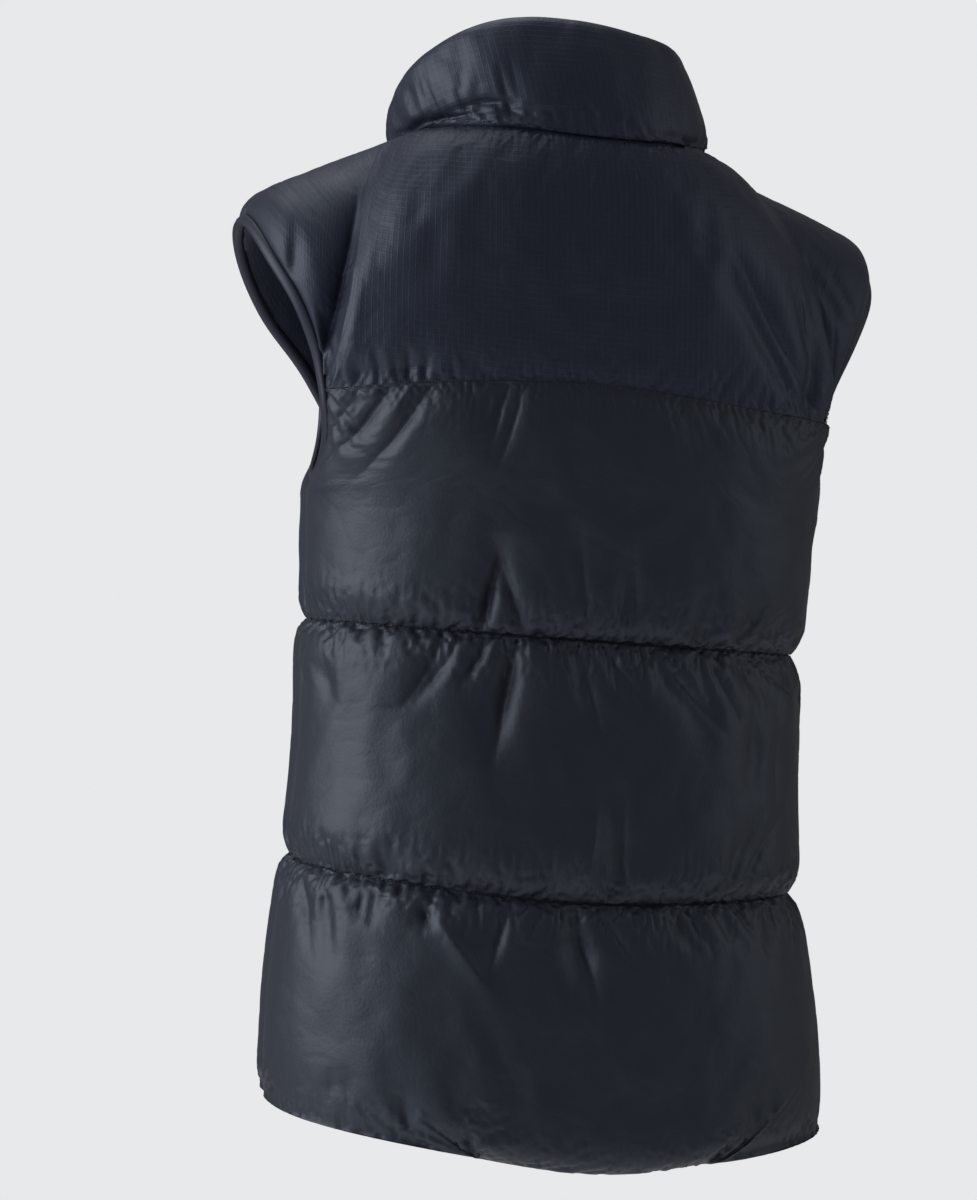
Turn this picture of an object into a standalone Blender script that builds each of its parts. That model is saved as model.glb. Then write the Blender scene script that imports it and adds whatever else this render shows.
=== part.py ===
"""A padded vest in its worn shape: body panels, yokes, stand collar, armhole bindings and front zip.

Frame: metres, +Z up, the wearer faces -Y and the wearer's left is +X. The origin is the nape, on the
inner wall at the centre back of the collar seam. An angle goes round the body from centre back (0)
towards the wearer's left (+) or right (-), and reaches centre front at 180 degrees. "Down" is a
depth below the nape on the body, and a share from 0 to 1 on the yokes and the collar.
"""
import bmesh
import bpy
import numpy as np

# ------------------------------------------------------------------ driving sizes, in metres
SEAM_GAP = 0.0004            # between two pieces that are sewn together
SEAM_THICKNESS = 0.006       # the wall where it is stitched down
YOKE_SEAM_THICKNESS = 0.0155 # and at a yoke seam, which joins two padded layers almost flat
CROWN_THICKNESS = 0.023      # the padded wall at the middle of a panel
YOKE_THICKNESS = 0.021
COLLAR_THICKNESS = 0.022
THINNEST = 0.0035            # at the bottom of the deepest fold
PUFF_WIDTH = 0.042           # how far from a seam the padding reaches its full height
NECK_PUFF_WIDTH = 0.060      # the same at the collar seam, on the yokes and on the collar
COLLAR_PUFF_WIDTH = 0.036
EDGE_PUFF_WIDTH = 0.030      # the same beside a side seam, a zip edge or the hem
COLLAR_ROLL = 0.013          # and at the collar's top edge

SHOULDER_TILT = 0.07         # the right shoulder is carried lower: drop per metre across
SHOULDER_START = 0.10        # each shoulder's own pose begins this far from the middle
SHOULDER_RAMP = (-0.27, -0.13)            # and grows between these heights
LEFT_SHOULDER = (0.0, -0.08)              # out and up, per metre past the start
RIGHT_SHOULDER = (0.165, 0.05)
SQUARENESS = 2.4             # 2 is a plain oval, more is squarer

AXIS_Y = -0.104              # the body's upright axis lies this far before the nape
NECK_HALF_WIDTH, NECK_BEHIND, NECK_BEFORE = 0.094, 0.078, 0.088
NECK_DROP = 0.090            # centre front of the collar seam below the nape
COLLAR_TOP_HALF_WIDTH, COLLAR_TOP_BEHIND, COLLAR_TOP_BEFORE = 0.089, 0.074, 0.072
COLLAR_TOP_LEAN, COLLAR_TOP_Y = 0.014, -0.094   # it leans to the left, but not at centre front
COLLAR_BOW = 0.005           # the collar is this full between its seam and its top

SIDE_SEAM = np.radians(97)
BACK_CORNER = np.radians(72)      # where the armhole meets the back yoke seam
FRONT_CORNER = np.radians(122)    # and where it meets the front yoke seam
CORNER_REACH = np.radians(9)      # how far round the body a corner slants the yoke's cloth
UNDERARM = -0.253                 # height of the armhole's lowest point
BINDING_WIDTH, BINDING_GAP = 0.0065, 0.00095  # the gap clears the cloth where the rim turns a corner

ZIP_HALF_GAP = 0.006         # from centre front to each panel's edge
TAPE_WIDTH, TAPE_THICKNESS = 0.0052, 0.0015
SLIDER_SIZE = (0.0086, 0.0030, 0.0130)    # across, out from the tape, up
SLIDER_HEIGHT = -0.0430                   # its middle, near the top of the closed zip
EAR_SIZE = (0.0012, 0.0034, 0.0036)
EAR_SIDE = 0.0020                         # middle of each ear beside centre front
PULL_HINGE = (0.0021, 0.0015)             # out from the slider's face, above its middle
PULL_LENGTH, PULL_WIDTH, PULL_NECK, PULL_THICKNESS = 0.026, 0.0066, 0.0022, 0.0016
BOX_SIZE = (0.0088, 0.0034, 0.0110)       # the box that holds the zip's lower ends

BACK_COLUMNS, FRONT_COLUMNS, SHOULDER_COLUMNS, COLLAR_COLUMNS = 56, 24, 7, 66
PANEL_ROWS, YOKE_ROWS, COLLAR_ROWS, ARMHOLE_ROWS, SIDE_ROWS = 10, 11, 7, 5, 6
COARSE, YOKE_COARSE = 4, 2   # the plain inner side has one line to so many of the outer side's
EVEN = 1.27                  # a section is about this much wider than deep

# Inner wall of the body at a height below the nape: half width across, depth behind and before the
# axis, and how far the section stands to the wearer's left.
#    height, half_width, behind, before, lean
SECTIONS = np.array([
    (-0.760, 0.197, 0.121, 0.131, 0.002),
    (-0.640, 0.190, 0.117, 0.130, 0.004),
    (-0.550, 0.179, 0.110, 0.128, 0.004),
    (-0.450, 0.171, 0.104, 0.124, -0.001),
    (-0.360, 0.173, 0.102, 0.122, -0.004),
    (-0.300, 0.174, 0.104, 0.121, -0.008),
    (-0.255, 0.178, 0.107, 0.121, -0.008),
    (-0.230, 0.187, 0.110, 0.121, -0.005),
    (-0.200, 0.203, 0.112, 0.118, -0.003),
    (-0.160, 0.209, 0.110, 0.112, -0.001),
    (-0.100, 0.210, 0.104, 0.104, 0.000),
])

# Heights of the seams that run round the body.
#    centre back, side, centre front
YOKE_SEAM = (-0.176, -0.190, -0.186)
UPPER_SEAM = (-0.360, -0.358, -0.352)
LOWER_SEAM = (-0.551, -0.537, -0.531)
HEM = (-0.744, -0.713, -0.706)

# Edge of the armhole above the yoke seams, from the back over the shoulder to the front.
#    angle, side, behind the axis, height
UPPER_ARMHOLE = np.array([
    (78, 0.191, 0.062, -0.158),
    (83, 0.205, 0.064, -0.124),
    (88, 0.220, 0.050, -0.093),
    (93, 0.227, 0.022, -0.069),
    (97, 0.229, -0.004, -0.061),
    (101, 0.226, -0.032, -0.069),
    (106, 0.214, -0.058, -0.093),
    (111, 0.194, -0.078, -0.124),
    (117, 0.164, -0.091, -0.159),
])

# Height of the collar's top edge.
#    angle, height
COLLAR_TOP = np.array([
    (-180, -0.030), (-140, 0.012), (-110, 0.048), (-73, 0.073), (-30, 0.081), (0, 0.084),
    (40, 0.077), (62, 0.060), (82, 0.043), (107, 0.025), (140, -0.005), (180, -0.030),
])

# The largest folds of the back, laid out on a flat drawing turned DRAWING_TURN to the wearer's left:
# both ends as left of the axis and below the nape, then the half width and the depth. A ridge has a
# depth below zero.
DRAWING_TURN = np.radians(17)
#    start_left, start_down, end_left, end_down, half_width, depth
YOKE_FOLDS = (
    (0.141, 0.073, 0.166, 0.179, 0.009, 0.009),
    (0.179, 0.071, 0.186, 0.107, 0.006, 0.004),
    (-0.142, 0.107, -0.192, 0.194, 0.009, 0.007),
    (-0.189, 0.100, -0.205, 0.165, 0.008, 0.005),
    (-0.205, 0.143, -0.197, 0.215, 0.007, 0.007),
)
UPPER_FOLDS = (
    (0.132, 0.181, 0.153, 0.212, 0.007, 0.006),
    (0.110, 0.177, 0.146, 0.226, 0.008, 0.006),
    (0.085, 0.181, 0.121, 0.230, 0.008, 0.006),
    (0.031, 0.177, 0.042, 0.215, 0.008, 0.005),
    (0.036, 0.302, 0.049, 0.352, 0.008, 0.009),
    (0.035, 0.302, 0.018, 0.356, 0.007, 0.007),
    (-0.019, 0.291, -0.024, 0.352, 0.009, 0.005),
    (-0.056, 0.300, -0.059, 0.352, 0.009, 0.005),
    (-0.113, 0.330, -0.113, 0.365, 0.007, 0.006),
    (-0.160, 0.338, -0.142, 0.359, 0.007, 0.006),
)
MIDDLE_FOLDS = (
    (0.169, 0.374, 0.158, 0.402, 0.007, 0.006),
    (0.078, 0.366, 0.096, 0.402, 0.008, 0.006),
    (0.045, 0.363, 0.060, 0.388, 0.008, 0.006),
    (0.024, 0.363, 0.038, 0.431, 0.012, 0.009),
    (-0.019, 0.366, -0.030, 0.417, 0.009, 0.006),
    (-0.037, 0.363, -0.059, 0.402, 0.008, 0.005),
    (-0.073, 0.370, -0.109, 0.417, 0.009, 0.006),
    (-0.109, 0.370, -0.124, 0.410, 0.008, 0.006),
    (-0.142, 0.374, -0.171, 0.402, 0.011, 0.010),
    (-0.156, 0.417, -0.153, 0.474, 0.010, 0.006),
    (0.114, 0.515, 0.112, 0.538, 0.007, 0.006),
    (-0.019, 0.546, -0.027, 0.496, 0.008, -0.004),
    (-0.048, 0.482, -0.050, 0.546, 0.009, 0.006),
    (-0.135, 0.532, -0.153, 0.496, 0.009, 0.006),
)
LOWER_FOLDS = (
    (0.186, 0.532, 0.175, 0.561, 0.008, 0.006),
    (0.164, 0.539, 0.157, 0.582, 0.008, 0.006),
    (0.125, 0.539, 0.128, 0.561, 0.007, 0.006),
    (0.081, 0.557, 0.049, 0.604, 0.009, 0.008),
    (0.031, 0.554, 0.042, 0.590, 0.008, 0.006),
    (-0.016, 0.554, -0.027, 0.604, 0.012, 0.009),
    (-0.037, 0.561, -0.052, 0.590, 0.008, 0.005),
    (-0.091, 0.550, -0.106, 0.582, 0.009, 0.006),
    (-0.124, 0.550, -0.142, 0.582, 0.009, 0.006),
    (-0.171, 0.546, -0.167, 0.590, 0.009, 0.007),
    (0.146, 0.690, 0.144, 0.672, 0.007, 0.004),
    (0.099, 0.715, 0.101, 0.690, 0.007, 0.004),
    (-0.153, 0.715, -0.150, 0.690, 0.007, 0.004),
)
COLLAR_FOLDS = (
    (0.098, 0.004, 0.040, -0.020, 0.006, 0.006),
    (-0.092, 0.004, -0.112, 0.016, 0.006, 0.005),
)

ARMHOLE_HOLD = 0.80          # how far the armhole's edge holds down a panel's padding
FLAT_REACH = 0.015           # folds fade out so close to a yoke seam

GATHERS_ROUND = 27           # small gathers along each side of a seam, on one turn of the body
GATHER_DEPTH = 0.0030
GATHER_REACH = 0.030


# ------------------------------------------------------------------ materials
def finish(name, colour, roughness, metallic=0.0, sheen=0.0):
    """A Principled material from a linear colour."""
    material = bpy.data.materials.new(name)
    material.use_nodes = True
    shader = material.node_tree.nodes["Principled BSDF"]
    shader.inputs["Base Color"].default_value = (*colour, 1.0)
    shader.inputs["Roughness"].default_value = roughness
    shader.inputs["Metallic"].default_value = metallic
    shader.inputs["Sheen Weight"].default_value = sheen
    return material


# ------------------------------------------------------------------ reading the tables
def smooth(table, at):
    """Columns of a table at any value of its first column, on one smooth curve through its rows."""
    key, columns = table[:, 0], table[:, 1:]
    slope = np.gradient(columns, key, axis=0)
    at = np.clip(at, key[0], key[-1])
    row = np.clip(np.searchsorted(key, at, side="right") - 1, 0, len(key) - 2)
    span = (key[row + 1] - key[row])[..., None]
    t = (at - key[row])[..., None] / span
    value = (1 + 2 * t) * (1 - t) ** 2 * columns[row] + t * (1 - t) ** 2 * span * slope[row]
    value = value + t * t * (3 - 2 * t) * columns[row + 1] - t * t * (1 - t) * span * slope[row + 1]
    return np.moveaxis(value, -1, 0)


def seam_height(seam, angle):
    """Height of a seam: its three values, joined by a smooth curve round the body."""
    back, side, front = seam
    way = (1 - np.cos(angle)) / 2
    return back * (1 - way) * (1 - 2 * way) + side * 4 * way * (1 - way) + front * way * (2 * way - 1)


# ------------------------------------------------------------------ the inner wall
def unit(vector):
    return vector / np.linalg.norm(vector, axis=-1, keepdims=True)


def radial(angle):
    """Level unit vector out of the body at an angle."""
    return np.stack([np.sin(angle), np.cos(angle), np.zeros_like(angle)], -1)


def oval(angle, half_width, behind, before):
    """Radius of a squared oval at an angle from centre back."""
    depth = np.where(np.cos(angle) > 0, behind, before)
    powers = np.abs(np.sin(angle) / half_width) ** SQUARENESS
    powers = powers + np.abs(np.cos(angle) / depth) ** SQUARENESS
    return powers ** (-1 / SQUARENESS)


def body_wall(angle, down):
    """Inner wall below the yoke seams."""
    half_width, behind, before, lean = smooth(SECTIONS, -down)
    radius = oval(angle, half_width, behind, before)
    return np.stack([lean + radius * np.sin(angle), AXIS_Y + radius * np.cos(angle), -down], -1)


def neck_seam(angle):
    """Collar seam: a squared oval, level behind and at the sides, falling to centre front."""
    radius = oval(angle, NECK_HALF_WIDTH, NECK_BEHIND, NECK_BEFORE)
    fall = NECK_DROP * ((1 - np.cos(angle)) / 2) ** 4
    return np.stack([radius * np.sin(angle), radius * np.cos(angle) - NECK_BEHIND, -fall], -1)


def corner_row(angle):
    """A yoke seam's corner at the armhole, as a row like those of UPPER_ARMHOLE."""
    height = seam_height(YOKE_SEAM, angle)
    half_width, behind, before, _ = smooth(SECTIONS, height)
    radius = oval(angle, half_width, behind, before)
    return np.degrees(angle), radius * np.sin(angle), radius * np.cos(angle), height


ARMHOLE_EDGE = np.vstack([corner_row(BACK_CORNER), UPPER_ARMHOLE, corner_row(FRONT_CORNER)])
SHOULDER_TIP = UPPER_ARMHOLE[:, 3].max()


def yoke_rim(angle):
    """Lower end of a yoke and the way it arrives there, at the yoke seam or the armhole's edge.

    It arrives straight down at the seam, slanting at the corner, and then turns with the armhole to
    point out over the shoulder tip.
    """
    turn, left = np.abs(angle), np.where(angle < 0, -1, 1)
    seam_down = -seam_height(YOKE_SEAM, turn)
    seam = body_wall(angle, seam_down)
    downwards = unit(body_wall(angle, seam_down + 0.001) - seam)
    side, behind, height = smooth(ARMHOLE_EDGE, np.degrees(turn))
    lean = smooth(SECTIONS, height)[3]
    edge = np.stack([lean + left * side, AXIS_Y + behind, height], -1)
    in_armhole = (turn > BACK_CORNER) & (turn < FRONT_CORNER)
    from_corner = np.minimum(np.abs(turn - BACK_CORNER), np.abs(turn - FRONT_CORNER))
    near = np.exp(-(from_corner / CORNER_REACH) ** 2)
    behind_tip = turn < SIDE_SEAM
    on_seam = left * np.where(behind_tip, np.minimum(turn, BACK_CORNER), np.maximum(turn, FRONT_CORNER))
    step = left * np.where(behind_tip, 0.001, -0.001)
    into = unit(body_wall(on_seam + step, seam_down) - body_wall(on_seam, seam_down))
    climb = np.clip((height + seam_down) / (SHOULDER_TIP + seam_down), 0, 1) * np.pi / 2
    over = into * np.cos(climb)[..., None] + radial(angle) * np.sin(climb)[..., None]
    sink = np.where(in_armhole, near + 0.5 * np.sin(climb), 1.0)
    slant = np.where(in_armhole, 1.0, near)
    arrive = unit(slant[..., None] * over + sink[..., None] * downwards)
    return np.where(in_armhole[..., None], edge, seam), arrive


def yoke_wall(angle, share):
    """Inner wall over the shoulders: a cubic curve from the collar seam (0) to the rim (1).

    The cloth runs towards a rim whose corners are rounded, and reaches the true one only at its end.
    """
    start = neck_seam(angle)
    end, _ = yoke_rim(angle)
    beside = np.array([yoke_rim(angle + turn * CORNER_REACH) for turn in (-1, -0.5, 0, 0.5, 1)])
    rounded, arrive = beside.mean(0)
    turn = np.abs(angle)
    from_corner = np.minimum(np.abs(turn - BACK_CORNER), np.abs(turn - FRONT_CORNER))
    near = np.exp(-(from_corner / CORNER_REACH / 1.5) ** 4)[..., None]
    rounded, arrive = end + near * (rounded - end), unit(arrive)
    level = np.where(np.cos(angle) > 0, 0.35, 0.60) * np.cos(angle) ** 2 + 0.93 * np.sin(angle) ** 2
    leave = level[..., None] * radial(angle) - np.sqrt(1 - level ** 2)[..., None] * (0, 0, 1)
    reach = 0.38 * np.linalg.norm(rounded - start, axis=-1, keepdims=True)
    t = share[..., None]
    wall = (1 - t) ** 3 * start + 3 * t * (1 - t) ** 2 * (start + reach * leave)
    wall = wall + 3 * t * t * (1 - t) * (rounded - reach * arrive) + t ** 3 * rounded
    return wall + t ** 7 * (end - rounded)


def collar_wall(angle, share):
    """Inner wall of the collar, from its top edge (0) to its seam (1)."""
    radius = oval(angle, COLLAR_TOP_HALF_WIDTH, COLLAR_TOP_BEHIND, COLLAR_TOP_BEFORE)
    lean = COLLAR_TOP_LEAN * (1 - ((1 - np.cos(angle)) / 2) ** 4)
    height = smooth(COLLAR_TOP, np.degrees(angle))[0]
    top = np.stack([lean + radius * np.sin(angle), COLLAR_TOP_Y + radius * np.cos(angle), height], -1)
    bow = COLLAR_BOW * 4 * share * (1 - share) * np.cos(angle / 2)
    t = share[..., None]
    return top * (1 - t) + neck_seam(angle) * t + radial(angle) * bow[..., None]


def outward(wall, angle, down):
    """Unit normal of a wall, out of the body."""
    step = 1e-4
    along = wall(angle + step, down) - wall(angle - step, down)
    across = wall(angle, down + step) - wall(angle, down - step)
    return unit(np.cross(along, across))


# ------------------------------------------------------------------ grids on the wall
def even_angles(first, last, columns):
    """Angles whose points lie about evenly along a section."""
    turns = np.arctan2(np.sin((first, last)) / EVEN, np.cos((first, last)))
    turn = np.linspace(turns[0], turns[1], columns + 1)
    return np.arctan2(EVEN * np.sin(turn), np.cos(turn))


def eased(rows):
    """Shares from 0 to 1, closer together at both ends, where the padding rises from its seams."""
    return 0.5 - 0.5 * np.cos(np.pi * np.linspace(0, 1, rows + 1))


def zip_edge(wall, down, offset=ZIP_HALF_GAP):
    """Angle at which a wall lies an offset to the side of centre front."""
    back_step = 0.04
    angle = np.full(np.shape(down), np.pi)
    across = wall(angle - back_step, down)[..., 0] - wall(angle, down)[..., 0]
    return np.pi - offset / across * back_step


def armhole_turn(height, corner):
    """Angle of the armhole's lower half: a quarter oval from a yoke seam's corner to the underarm."""
    top = seam_height(YOKE_SEAM, corner)
    depth = np.clip((top - height) / (top - UNDERARM), 0, 1)
    return SIDE_SEAM + (corner - SIDE_SEAM) * np.sqrt(1 - depth ** 2)


def edge_heights(corner):
    """Heights at the outer edge of an upper panel: down the armhole, then down the side seam."""
    top, end = seam_height(YOKE_SEAM, corner), seam_height(UPPER_SEAM, SIDE_SEAM)
    armhole = top + (UNDERARM - top) * np.sin(np.linspace(0, np.pi / 2, ARMHOLE_ROWS + 1))
    below = UNDERARM + (end - UNDERARM) * np.sin(np.linspace(0, np.pi / 2, SIDE_ROWS + 1))[1:]
    return np.concatenate([armhole, below])


def panel_grid(top, bottom, side):
    """Angles and depths of a body panel, in rows from its top seam to its bottom one."""
    trim = SEAM_GAP / 2 / SECTIONS[5, 1]
    if top is YOKE_SEAM:
        corner = BACK_CORNER if side == "back" else FRONT_CORNER
        height = edge_heights(corner)
        outer = armhole_turn(height, corner)
        start, end = seam_height(top, outer), seam_height(bottom, outer)
        shares = np.clip((start - height) / (start - end), 0, 1)
    else:
        shares = eased(PANEL_ROWS)
        outer = np.full(shares.shape, SIDE_SEAM)
    if side == "back":
        rows = [even_angles(trim - turn, turn - trim, BACK_COLUMNS) for turn in outer]
    else:
        front = seam_height(top, np.pi) * (1 - shares) + seam_height(bottom, np.pi) * shares
        ends = zip_edge(body_wall, -front)
        rows = [even_angles(turn + trim, end, FRONT_COLUMNS) for turn, end in zip(outer, ends)]
    angle = np.array(rows)
    share = shares[:, None]
    down = -seam_height(top, angle) * (1 - share) - seam_height(bottom, angle) * share
    down[0] += SEAM_GAP / 2
    down[-1] -= SEAM_GAP / 2
    return (-angle[:, ::-1], down[:, ::-1]) if side == "right" else (angle, down)


def yoke_grid(side):
    """Angles and shares of a yoke, in rows from the collar seam to its rim."""
    shares = eased(YOKE_ROWS)
    shares[0], shares[-1] = 0.0014, 0.9988
    neck_reach, tip_reach = 0.10, 0.39      # metres along the shoulder seam's side for one radian
    trims = SEAM_GAP / 2 / (neck_reach * (1 - shares) + tip_reach * shares)
    if side == "back":
        middle = even_angles(-BACK_CORNER, BACK_CORNER, BACK_COLUMNS)
        ends = [np.linspace(BACK_CORNER, SIDE_SEAM - trim, SHOULDER_COLUMNS + 1)[1:] for trim in trims]
        angle = np.array([np.concatenate([-end[::-1], middle, end]) for end in ends])
    else:
        fronts = zip_edge(yoke_wall, shares)
        angle = np.array([np.concatenate([
            np.linspace(SIDE_SEAM + trim, FRONT_CORNER, SHOULDER_COLUMNS + 1),
            even_angles(FRONT_CORNER, front, FRONT_COLUMNS)[1:]]) for trim, front in zip(trims, fronts)])
    share = np.broadcast_to(shares[:, None], angle.shape)
    return (-angle[:, ::-1], share) if side == "right" else (angle, share)


def collar_grid():
    """Angles and shares of the collar, in rows from its rolled top edge to its seam."""
    shares = np.concatenate([[0.0, 0.05], np.linspace(0.16, 0.9975, COLLAR_ROWS)])
    angle = np.array([even_angles(-end, end, COLLAR_COLUMNS) for end in zip_edge(collar_wall, shares)])
    return angle, np.broadcast_to(shares[:, None], angle.shape)


# ------------------------------------------------------------------ padding, folds and gathers
def rise(distance, width):
    """Height of the padding beside a seam, from 0 to 1: a quarter round of the given width."""
    return np.sqrt(1 - (1 - np.clip(distance / width, 0, 1)) ** 2)


def lengths(grid, axis):
    """Distance of each point from the first and the last line of its grid along an axis."""
    steps = np.linalg.norm(np.diff(grid, axis=axis), axis=-1)
    start = np.concatenate([np.zeros_like(np.take(steps, [0], axis)), np.cumsum(steps, axis)], axis)
    return start, np.take(start, [-1], axis) - start


def padding(grid, pinches):
    """Height of the padding over a grid, from 0 to 1.

    A pinch says how far an edge holds the padding down, over what width, and how slowly the padding
    rises there: for the top, the bottom, the first and the last column.
    """
    height = np.ones(grid.shape[:2])
    for distance, (hold, width, slowness) in zip(lengths(grid, 0) + lengths(grid, 1), pinches):
        height = height * (1 - hold * (1 - rise(distance, width) ** slowness))
    return height


def posed(points):
    """Points of a body that stands level and even, moved into the wearer's pose."""
    x, y, z = np.moveaxis(points, -1, 0)
    ramp = np.clip((z - SHOULDER_RAMP[0]) / (SHOULDER_RAMP[1] - SHOULDER_RAMP[0]), 0, 1)
    past = np.maximum(np.abs(x) - SHOULDER_START, 0)
    past = past ** 2 / (past + 0.03) * ramp ** 2 * (3 - 2 * ramp)
    out, up = (np.where(x < 0, right, left) for right, left in zip(RIGHT_SHOULDER, LEFT_SHOULDER))
    x = x + np.sign(x) * out * past
    return np.stack([x, y, z + SHOULDER_TILT * x + up * past], -1)


def folded(points, normals, folds):
    """Depth of the folds at points: a round trough along each line, fading at both ends."""
    side, back = np.cos(DRAWING_TURN), np.sin(DRAWING_TURN)
    x, y, z = np.moveaxis(posed(points), -1, 0)
    left, down = x * side - (y - AXIS_Y) * back, -z
    faces_drawing = normals[..., 0] * back + normals[..., 1] * side > 0.05
    depth = np.zeros(left.shape)
    for start_left, start_down, end_left, end_down, half_width, deepest in folds:
        run = np.array((end_left - start_left, end_down - start_down))
        length = np.hypot(*run)
        along = ((left - start_left) * run[0] + (down - start_down) * run[1]) / length ** 2 - 0.5
        beside = ((left - start_left) * run[1] - (down - start_down) * run[0]) / length
        fade = np.clip(1.15 - 1.3 * np.abs(along), 0, 1)
        depth += deepest * fade * np.exp(-(beside / half_width) ** 2)
    return depth * faces_drawing


def gathered(angle, distance):
    """Depth of the small gathers beside a seam: uneven waves round the body that fade inwards."""
    wave = np.cos(GATHERS_ROUND * angle + 1.6 * np.sin(3 * angle) + 1.1 * np.sin(7 * angle + 1))
    size = 0.62 + 0.38 * np.sin(5 * angle + 2)
    return GATHER_DEPTH * size * (0.5 + 0.5 * wave) ** 2 * np.exp(-distance / GATHER_REACH)


def outer_wall(inner, normals, crown, height, troughs):
    """The outer side: the inner wall moved out by the padding, less its troughs."""
    full = SEAM_THICKNESS + (crown - SEAM_THICKNESS) * height
    thickness = np.maximum(full - troughs * np.minimum(2 * height, 1), THINNEST)
    return inner + normals * np.where(height > 0, thickness, SEAM_THICKNESS)[..., None]


# ------------------------------------------------------------------ from grids to solids
def add_object(name, points, faces, material):
    """A mesh object with one material, in the wearer's pose."""
    mesh = bpy.data.meshes.new(name)
    mesh.from_pydata(posed(np.asarray(points, float)).tolist(), [], faces)
    work = bmesh.new()
    work.from_mesh(mesh)
    bmesh.ops.delete(work, geom=[vert for vert in work.verts if not vert.link_faces], context="VERTS")
    bmesh.ops.recalc_face_normals(work, faces=work.faces)
    if work.calc_volume(signed=True) < 0:
        bmesh.ops.reverse_faces(work, faces=work.faces)
    work.to_mesh(mesh)
    work.free()
    mesh.shade_smooth()
    mesh.set_sharp_from_angle(angle=np.radians(50))
    mesh.materials.append(material)
    piece = bpy.data.objects.new(name, mesh)
    bpy.context.scene.collection.objects.link(piece)
    return piece


def add_wall(name, inner, outer, material, coarse=COARSE):
    """One closed wall between two grids. The plain inner side has fewer, larger faces."""
    rows, columns = inner.shape[:2]

    def at(row, column, side):
        return (side * rows + row) * columns + column

    faces = [(at(row, column, 1), at(row + 1, column, 1), at(row + 1, column + 1, 1),
              at(row, column + 1, 1)) for row in range(rows - 1) for column in range(columns - 1)]
    row_lines = sorted({*range(0, rows - 1, coarse), rows - 1})
    column_lines = sorted({*range(0, columns - 1, coarse), columns - 1})
    for top, bottom in zip(row_lines, row_lines[1:]):
        for left, right in zip(column_lines, column_lines[1:]):
            loop = [at(top, c, 0) for c in (range(left, right) if top == 0 else (left,))]
            loop += [at(r, right, 0) for r in (range(top, bottom) if right == columns - 1 else (top,))]
            loop += [at(bottom, c, 0) for c in (range(right, left, -1) if bottom == rows - 1 else (right,))]
            loop += [at(r, left, 0) for r in (range(bottom, top, -1) if left == 0 else (bottom,))]
            faces.append(tuple(loop))
    rim = [(0, c) for c in range(columns - 1)] + [(r, columns - 1) for r in range(rows - 1)]
    rim += [(rows - 1, c) for c in range(columns - 1, 0, -1)] + [(r, 0) for r in range(rows - 1, 0, -1)]
    for one, other in zip(rim, rim[1:] + rim[:1]):
        faces.append((at(*other, 0), at(*one, 0), at(*one, 1), at(*other, 1)))
    return add_object(name, np.concatenate([inner.reshape(-1, 3), outer.reshape(-1, 3)]), faces, material)


def add_loft(name, rings, material, closed=False):
    """A solid through equal rings of points, capped at both ends unless it closes on itself."""
    stations, sides = rings.shape[:2]
    faces = [(i * sides + j, i * sides + (j + 1) % sides,
              (i + 1) % stations * sides + (j + 1) % sides, (i + 1) % stations * sides + j)
             for i in range(stations if closed else stations - 1) for j in range(sides)]
    if not closed:
        faces += [tuple(range(sides)), tuple(range((stations - 1) * sides, stations * sides))]
    return add_object(name, rings.reshape(-1, 3), faces, material)


# ------------------------------------------------------------------ the padded pieces
def side_pinches(side, outer, middle):
    """Pinches of the first and last column: the outer edges of the back, or one outer, one zip edge."""
    return {"back": [outer, outer], "left": [outer, middle], "right": [middle, outer]}[side]


def flat_hold(crown):
    """How far a yoke seam holds down padding of a crown's thickness."""
    return 1 - (YOKE_SEAM_THICKNESS - SEAM_THICKNESS) / (crown - SEAM_THICKNESS)


def add_panel(name, top, bottom, side, folds, material):
    """A body panel, padded between two seams. An upper one is cut out for the armhole."""
    angle, down = panel_grid(top, bottom, side)
    inner = body_wall(angle, down)
    normals = outward(body_wall, angle, down)
    seam, hem = (1, PUFF_WIDTH, 1), (0.75, EDGE_PUFF_WIDTH, 1)
    yoke_seam = (flat_hold(CROWN_THICKNESS), PUFF_WIDTH, 2)
    outer_edge = (ARMHOLE_HOLD if top is YOKE_SEAM else 0.55, EDGE_PUFF_WIDTH, 1)
    ends = side_pinches(side, outer_edge, (0.9, EDGE_PUFF_WIDTH, 1))
    pinches = [yoke_seam if top is YOKE_SEAM else seam, hem if bottom is HEM else seam]
    height = padding(inner, pinches + ends)
    from_top, from_bottom = lengths(inner, 0)
    troughs = gathered(angle, from_top) + gathered(angle + 1, from_bottom)
    if side == "back":
        depth = folded(inner + normals * CROWN_THICKNESS, normals, folds)
        troughs = troughs + (depth * rise(from_top, FLAT_REACH) if top is YOKE_SEAM else depth)
    add_wall(name, inner, outer_wall(inner, normals, CROWN_THICKNESS, height, troughs), material)
    return inner, normals


def mitred(normals, angle, share):
    """Turns normals near the collar seam into the plane that halves its corner."""
    seam = np.ones_like(angle)
    halfway = unit(outward(collar_wall, angle, seam) + outward(yoke_wall, angle, 0.001 * seam))
    weight = np.exp(-9 * share)[..., None]
    return unit(normals * (1 - weight) + halfway * weight)


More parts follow.
